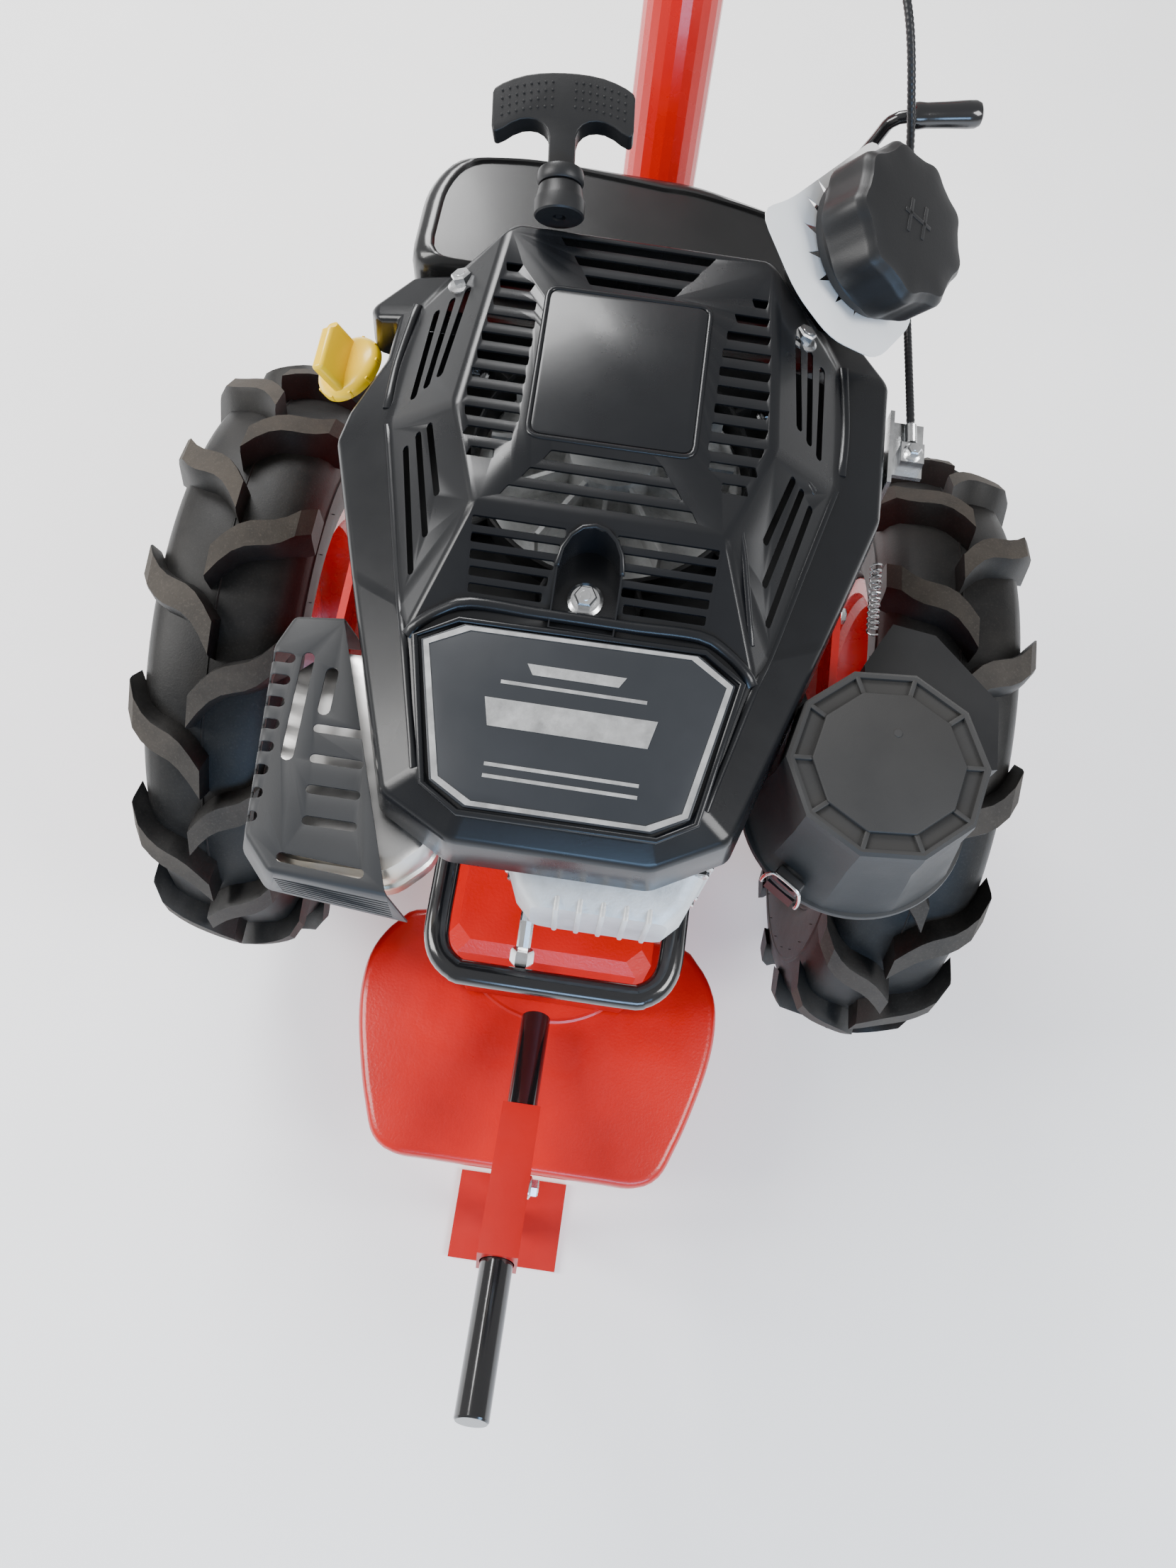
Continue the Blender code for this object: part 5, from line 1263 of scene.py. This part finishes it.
def front_weight():
    half = [(0.0, -0.448), (0.08, -0.448), (0.118, -0.447), (0.14, -0.434), (0.153, -0.405)]
    half += [(0.164, -0.372), (0.176, -0.325), (0.18, -0.285), (0.175, -0.252), (0.156, -0.222)]
    half += [(0.125, -0.205), (0.0, -0.202)]
    outline = half + [(-x, y) for x, y in half[-2:0:-1]]
    outline = [(p.x, p.y) for p in spline([(x, y, 0) for x, y in outline], 0.008, True)]
    slab = worked(prism(outline, 0.14, 0.185), bevel(0.009, 4, 50))
    profile = [(0.102, 0.1835), (0.0975, 0.1865), (0.096, 0.1925), (0, 0.1928)]
    boss = lathe(profile, (0.004, -0.2054, 0), UP, 72)
    place("weight_casting", joined([slab, boss], 40), ROUGH_RED, "root", "red_paint", ["front_weight"])


def prop():
    profile = [(0, -0.0005), (0.0128, -0.0005), (BAR_R, -0.002), (BAR_R, -0.36), (0, -0.36)]
    cap = lathe(profile, BAR_TIP, BAR_AXIS, 40)
    place("front_bar_tube", cap, GLOSS_BLACK, "root", "black_paint", ["front_bar"])
    dress(DULL_RED, "prop_sleeve", "prop_leg")
    clamp = hex_bolt(BAR_START + BAR_AXIS * 0.184 + Vector((0.0172, 0, 0)), (1, 0, 0), 0.008, 0.01, 0.0085)
    place("prop_clamp_screw", clamp, ZINC, "prop", "zinc")


# ---------------------------------------------------------------- handlebar and controls
def handlebar():
    dress(RED, "handlebar_column", "swivel_head", "handlebar")
    slope = Vector((0, 1, GRIP_RISE)).normalized()
    for word, side in (("left", -1), ("right", 1)):
        start = Vector((side * GRIP_X, GRIP_FROM, 0.99 + (GRIP_FROM - 1.0) * GRIP_RISE))
        length = (GRIP_TO - GRIP_FROM) / slope.y
        profile = [(0, length), (0.015, length), (0.018, length - 0.003), (0.0185, length - 0.008)]
        for i in range(GRIP_RIBS):
            at = length - 0.014 - i * (length - 0.03) / GRIP_RIBS
            profile += [(0.0178, at + 0.0022), (0.0166, at), (0.0166, at - 0.0016), (0.0178, at - 0.0034)]
        profile += [(0.017, 0.008), (0.0205, 0.005), (0.021, 0.003), (0.0205, 0.0002), (0.0135, 0.0)]
        mesh = lathe(profile, start, slope, 40)
        place(f"grip_{word}_ribbed", mesh, GRIP, "handlebar", "grip_rubber", [f"grip_{word}"])
    dress(PLASTIC, "tilt_knob", "clutch_lever_mount", "throttle_housing", "throttle_lever")
    dress(GLOSS_BLACK, "clutch_lever")
    dress(ZINC, "hitch_pin")


def gear_lever():
    bends = [(0.075, 0.175, 0.4215), (0.08, 0.2, 0.47), (0.098, 0.262, 0.59), (0.14, 0.286, 0.69)]
    bends += [(0.1565, 0.29, 0.729), (0.163, 0.2905, 0.744), (0.176, 0.2915, 0.75), (0.211, 0.2985, 0.751)]
    rod = tube(spline(bends, 0.006), 0.0045, 16)
    place("gear_rod", rod, GLOSS_BLACK, "gear_lever", "black_paint", ["gear_lever"])
    profile = [(0, 0.0515), (0.005, 0.0512), (0.008, 0.0495), (0.0094, 0.046), (0.0094, 0.04)]
    profile.append((0.0088, 0.025))
    profile += [(0.0086, 0.01), (0.0092, 0.004), (0.0088, 0.0012), (0.007, 0.0), (0.005, 0.0)]
    knob = lathe(profile, (0.176, 0.2915, 0.75), (1, 0.2, 0.029), 32)
    place("gear_rod_grip", knob, GLOSS_BLACK, "gear_lever", "grip_rubber", ["gear_lever_grip"])


def ribbed_cable(points, radius=0.003):
    """A cable's outer sleeve with a shallow groove at every third ring."""
    path = spline(points, 0.0012)
    radii = [radius - (0.00035 if i % 3 == 0 else 0.0) for i in range(len(path))]
    return tube(path, radius, 10, radii=radii)


def throttle_cable():
    engine_run = [(0.2035, 0.0515, 0.694), (0.202, 0.08, 0.694), (0.198, 0.148, 0.691), (0.193, 0.2, 0.695)]
    engine_run += [(0.1805, 0.232, 0.735), (0.1665, 0.252, 0.785), (0.15, 0.285, 0.828), (0.128, 0.335, 0.85)]
    loop = [(0.1276, 0.3359, 0.8504), (0.105, 0.395, 0.872), (0.088, 0.455, 0.889), (0.1, 0.53, 0.906)]
    rail = [(0.1012, 0.5314, 0.9068), (0.158, 0.61, 0.9255), (0.222, 0.712, 0.95), (0.272, 0.842, 0.981)]
    rail += [(0.284, 0.92, 0.999), (0.285, 0.944, 1.009)]
    sleeve = ribbed_cable(engine_run)
    first = place("cable_on_engine", sleeve, CABLE, None, "grip_rubber", ["throttle_cable_engine"])
    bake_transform(first)
    second = place("cable_on_head", ribbed_cable(loop), CABLE, None, "grip_rubber", ["throttle_cable_loop"])
    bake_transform(second)
    place("cable_on_bar", ribbed_cable(rail), CABLE, "handlebar", "grip_rubber", ["throttle_cable_bar"])


# ---------------------------------------------------------------- stage, lights and camera
def stage():
    bpy.ops.mesh.primitive_plane_add(size=14, location=(0, 0, -0.0005))
    floor = bpy.context.object
    floor.name = "floor"
    graph = Graph("floor_look", (0.9, 0.9, 0.9), 0.9)
    tone = graph.ramp(graph.noise(3.0, 3.0), (0.885, 0.885, 0.885), (0.915, 0.915, 0.915))
    graph.link(tone, graph.shader.inputs["Base Color"])
    graph.shader.inputs["Emission Color"].default_value = (1, 1, 1, 1)
    graph.shader.inputs["Emission Strength"].default_value = 0.3
    floor.data.materials.append(graph.material)
    world = bpy.data.worlds.new("studio")
    world.use_nodes = True
    world.node_tree.nodes["Background"].inputs["Color"].default_value = (1.0, 1.0, 1.0, 1)
    world.node_tree.nodes["Background"].inputs["Strength"].default_value = 0.55
    bpy.context.scene.world = world


def soft_light(name, location, target, size, power, colour):
    lamp = bpy.data.lights.new(name, "AREA")
    lamp.shape = "RECTANGLE"
    lamp.size, lamp.size_y = size
    lamp.energy = power
    lamp.color = colour
    obj = bpy.data.objects.new(name, lamp)
    bpy.context.scene.collection.objects.link(obj)
    obj.location = location
    obj.rotation_euler = (Vector(target) - Vector(location)).to_track_quat("-Z", "Y").to_euler()


def lights():
    soft_light("above_rear", (-1.5, 2.4, 3.0), (0, 0, 0.4), (1.6, 1.2), 150, (1.0, 1.0, 1.0))
    soft_light("left_soft", (-2.8, -0.6, 2.6), (0, -0.2, 0.4), (1.4, 2.2), 150, (1.0, 0.99, 0.97))
    soft_light("right_soft", (2.6, -1.2, 2.8), (0, -0.2, 0.3), (1.2, 1.6), 90, (1.0, 1.0, 1.0))
    soft_light("front_blue", (0.7, -2.6, 1.3), (0, -0.3, 0.7), (1.8, 0.6), 40, (0.35, 0.62, 1.0))


def camera():
    tilt, roll = math.radians(20), math.radians(8.5)
    forward = Vector((0, math.sin(tilt), -math.cos(tilt)))
    flat_up = Vector((0, math.cos(tilt), math.sin(tilt)))
    right = ACROSS * math.cos(roll) + flat_up * math.sin(roll)
    up = flat_up * math.cos(roll) - ACROSS * math.sin(roll)
    lens = bpy.data.cameras.new("camera")
    lens.lens = 27.03
    lens.sensor_width = 36
    obj = bpy.data.objects.new("camera", lens)
    bpy.context.scene.collection.objects.link(obj)
    where = Vector((0.0163, AXLE_Y - 0.479, 1.373))
    obj.matrix_world = Matrix.Translation(where) @ Matrix((right, up, -forward)).transposed().to_4x4()
    bpy.context.scene.camera = obj


def main():
    camera()
    stage()
    lights()
    wheels()
    cowl()
    name_plate()
    engine()
    fuel_tank()
    fuel_cap()
    oil_cap()
    recoil()
    gearbox()
    front_weight()
    prop()
    handlebar()
    gear_lever()
    throttle_cable()


main()
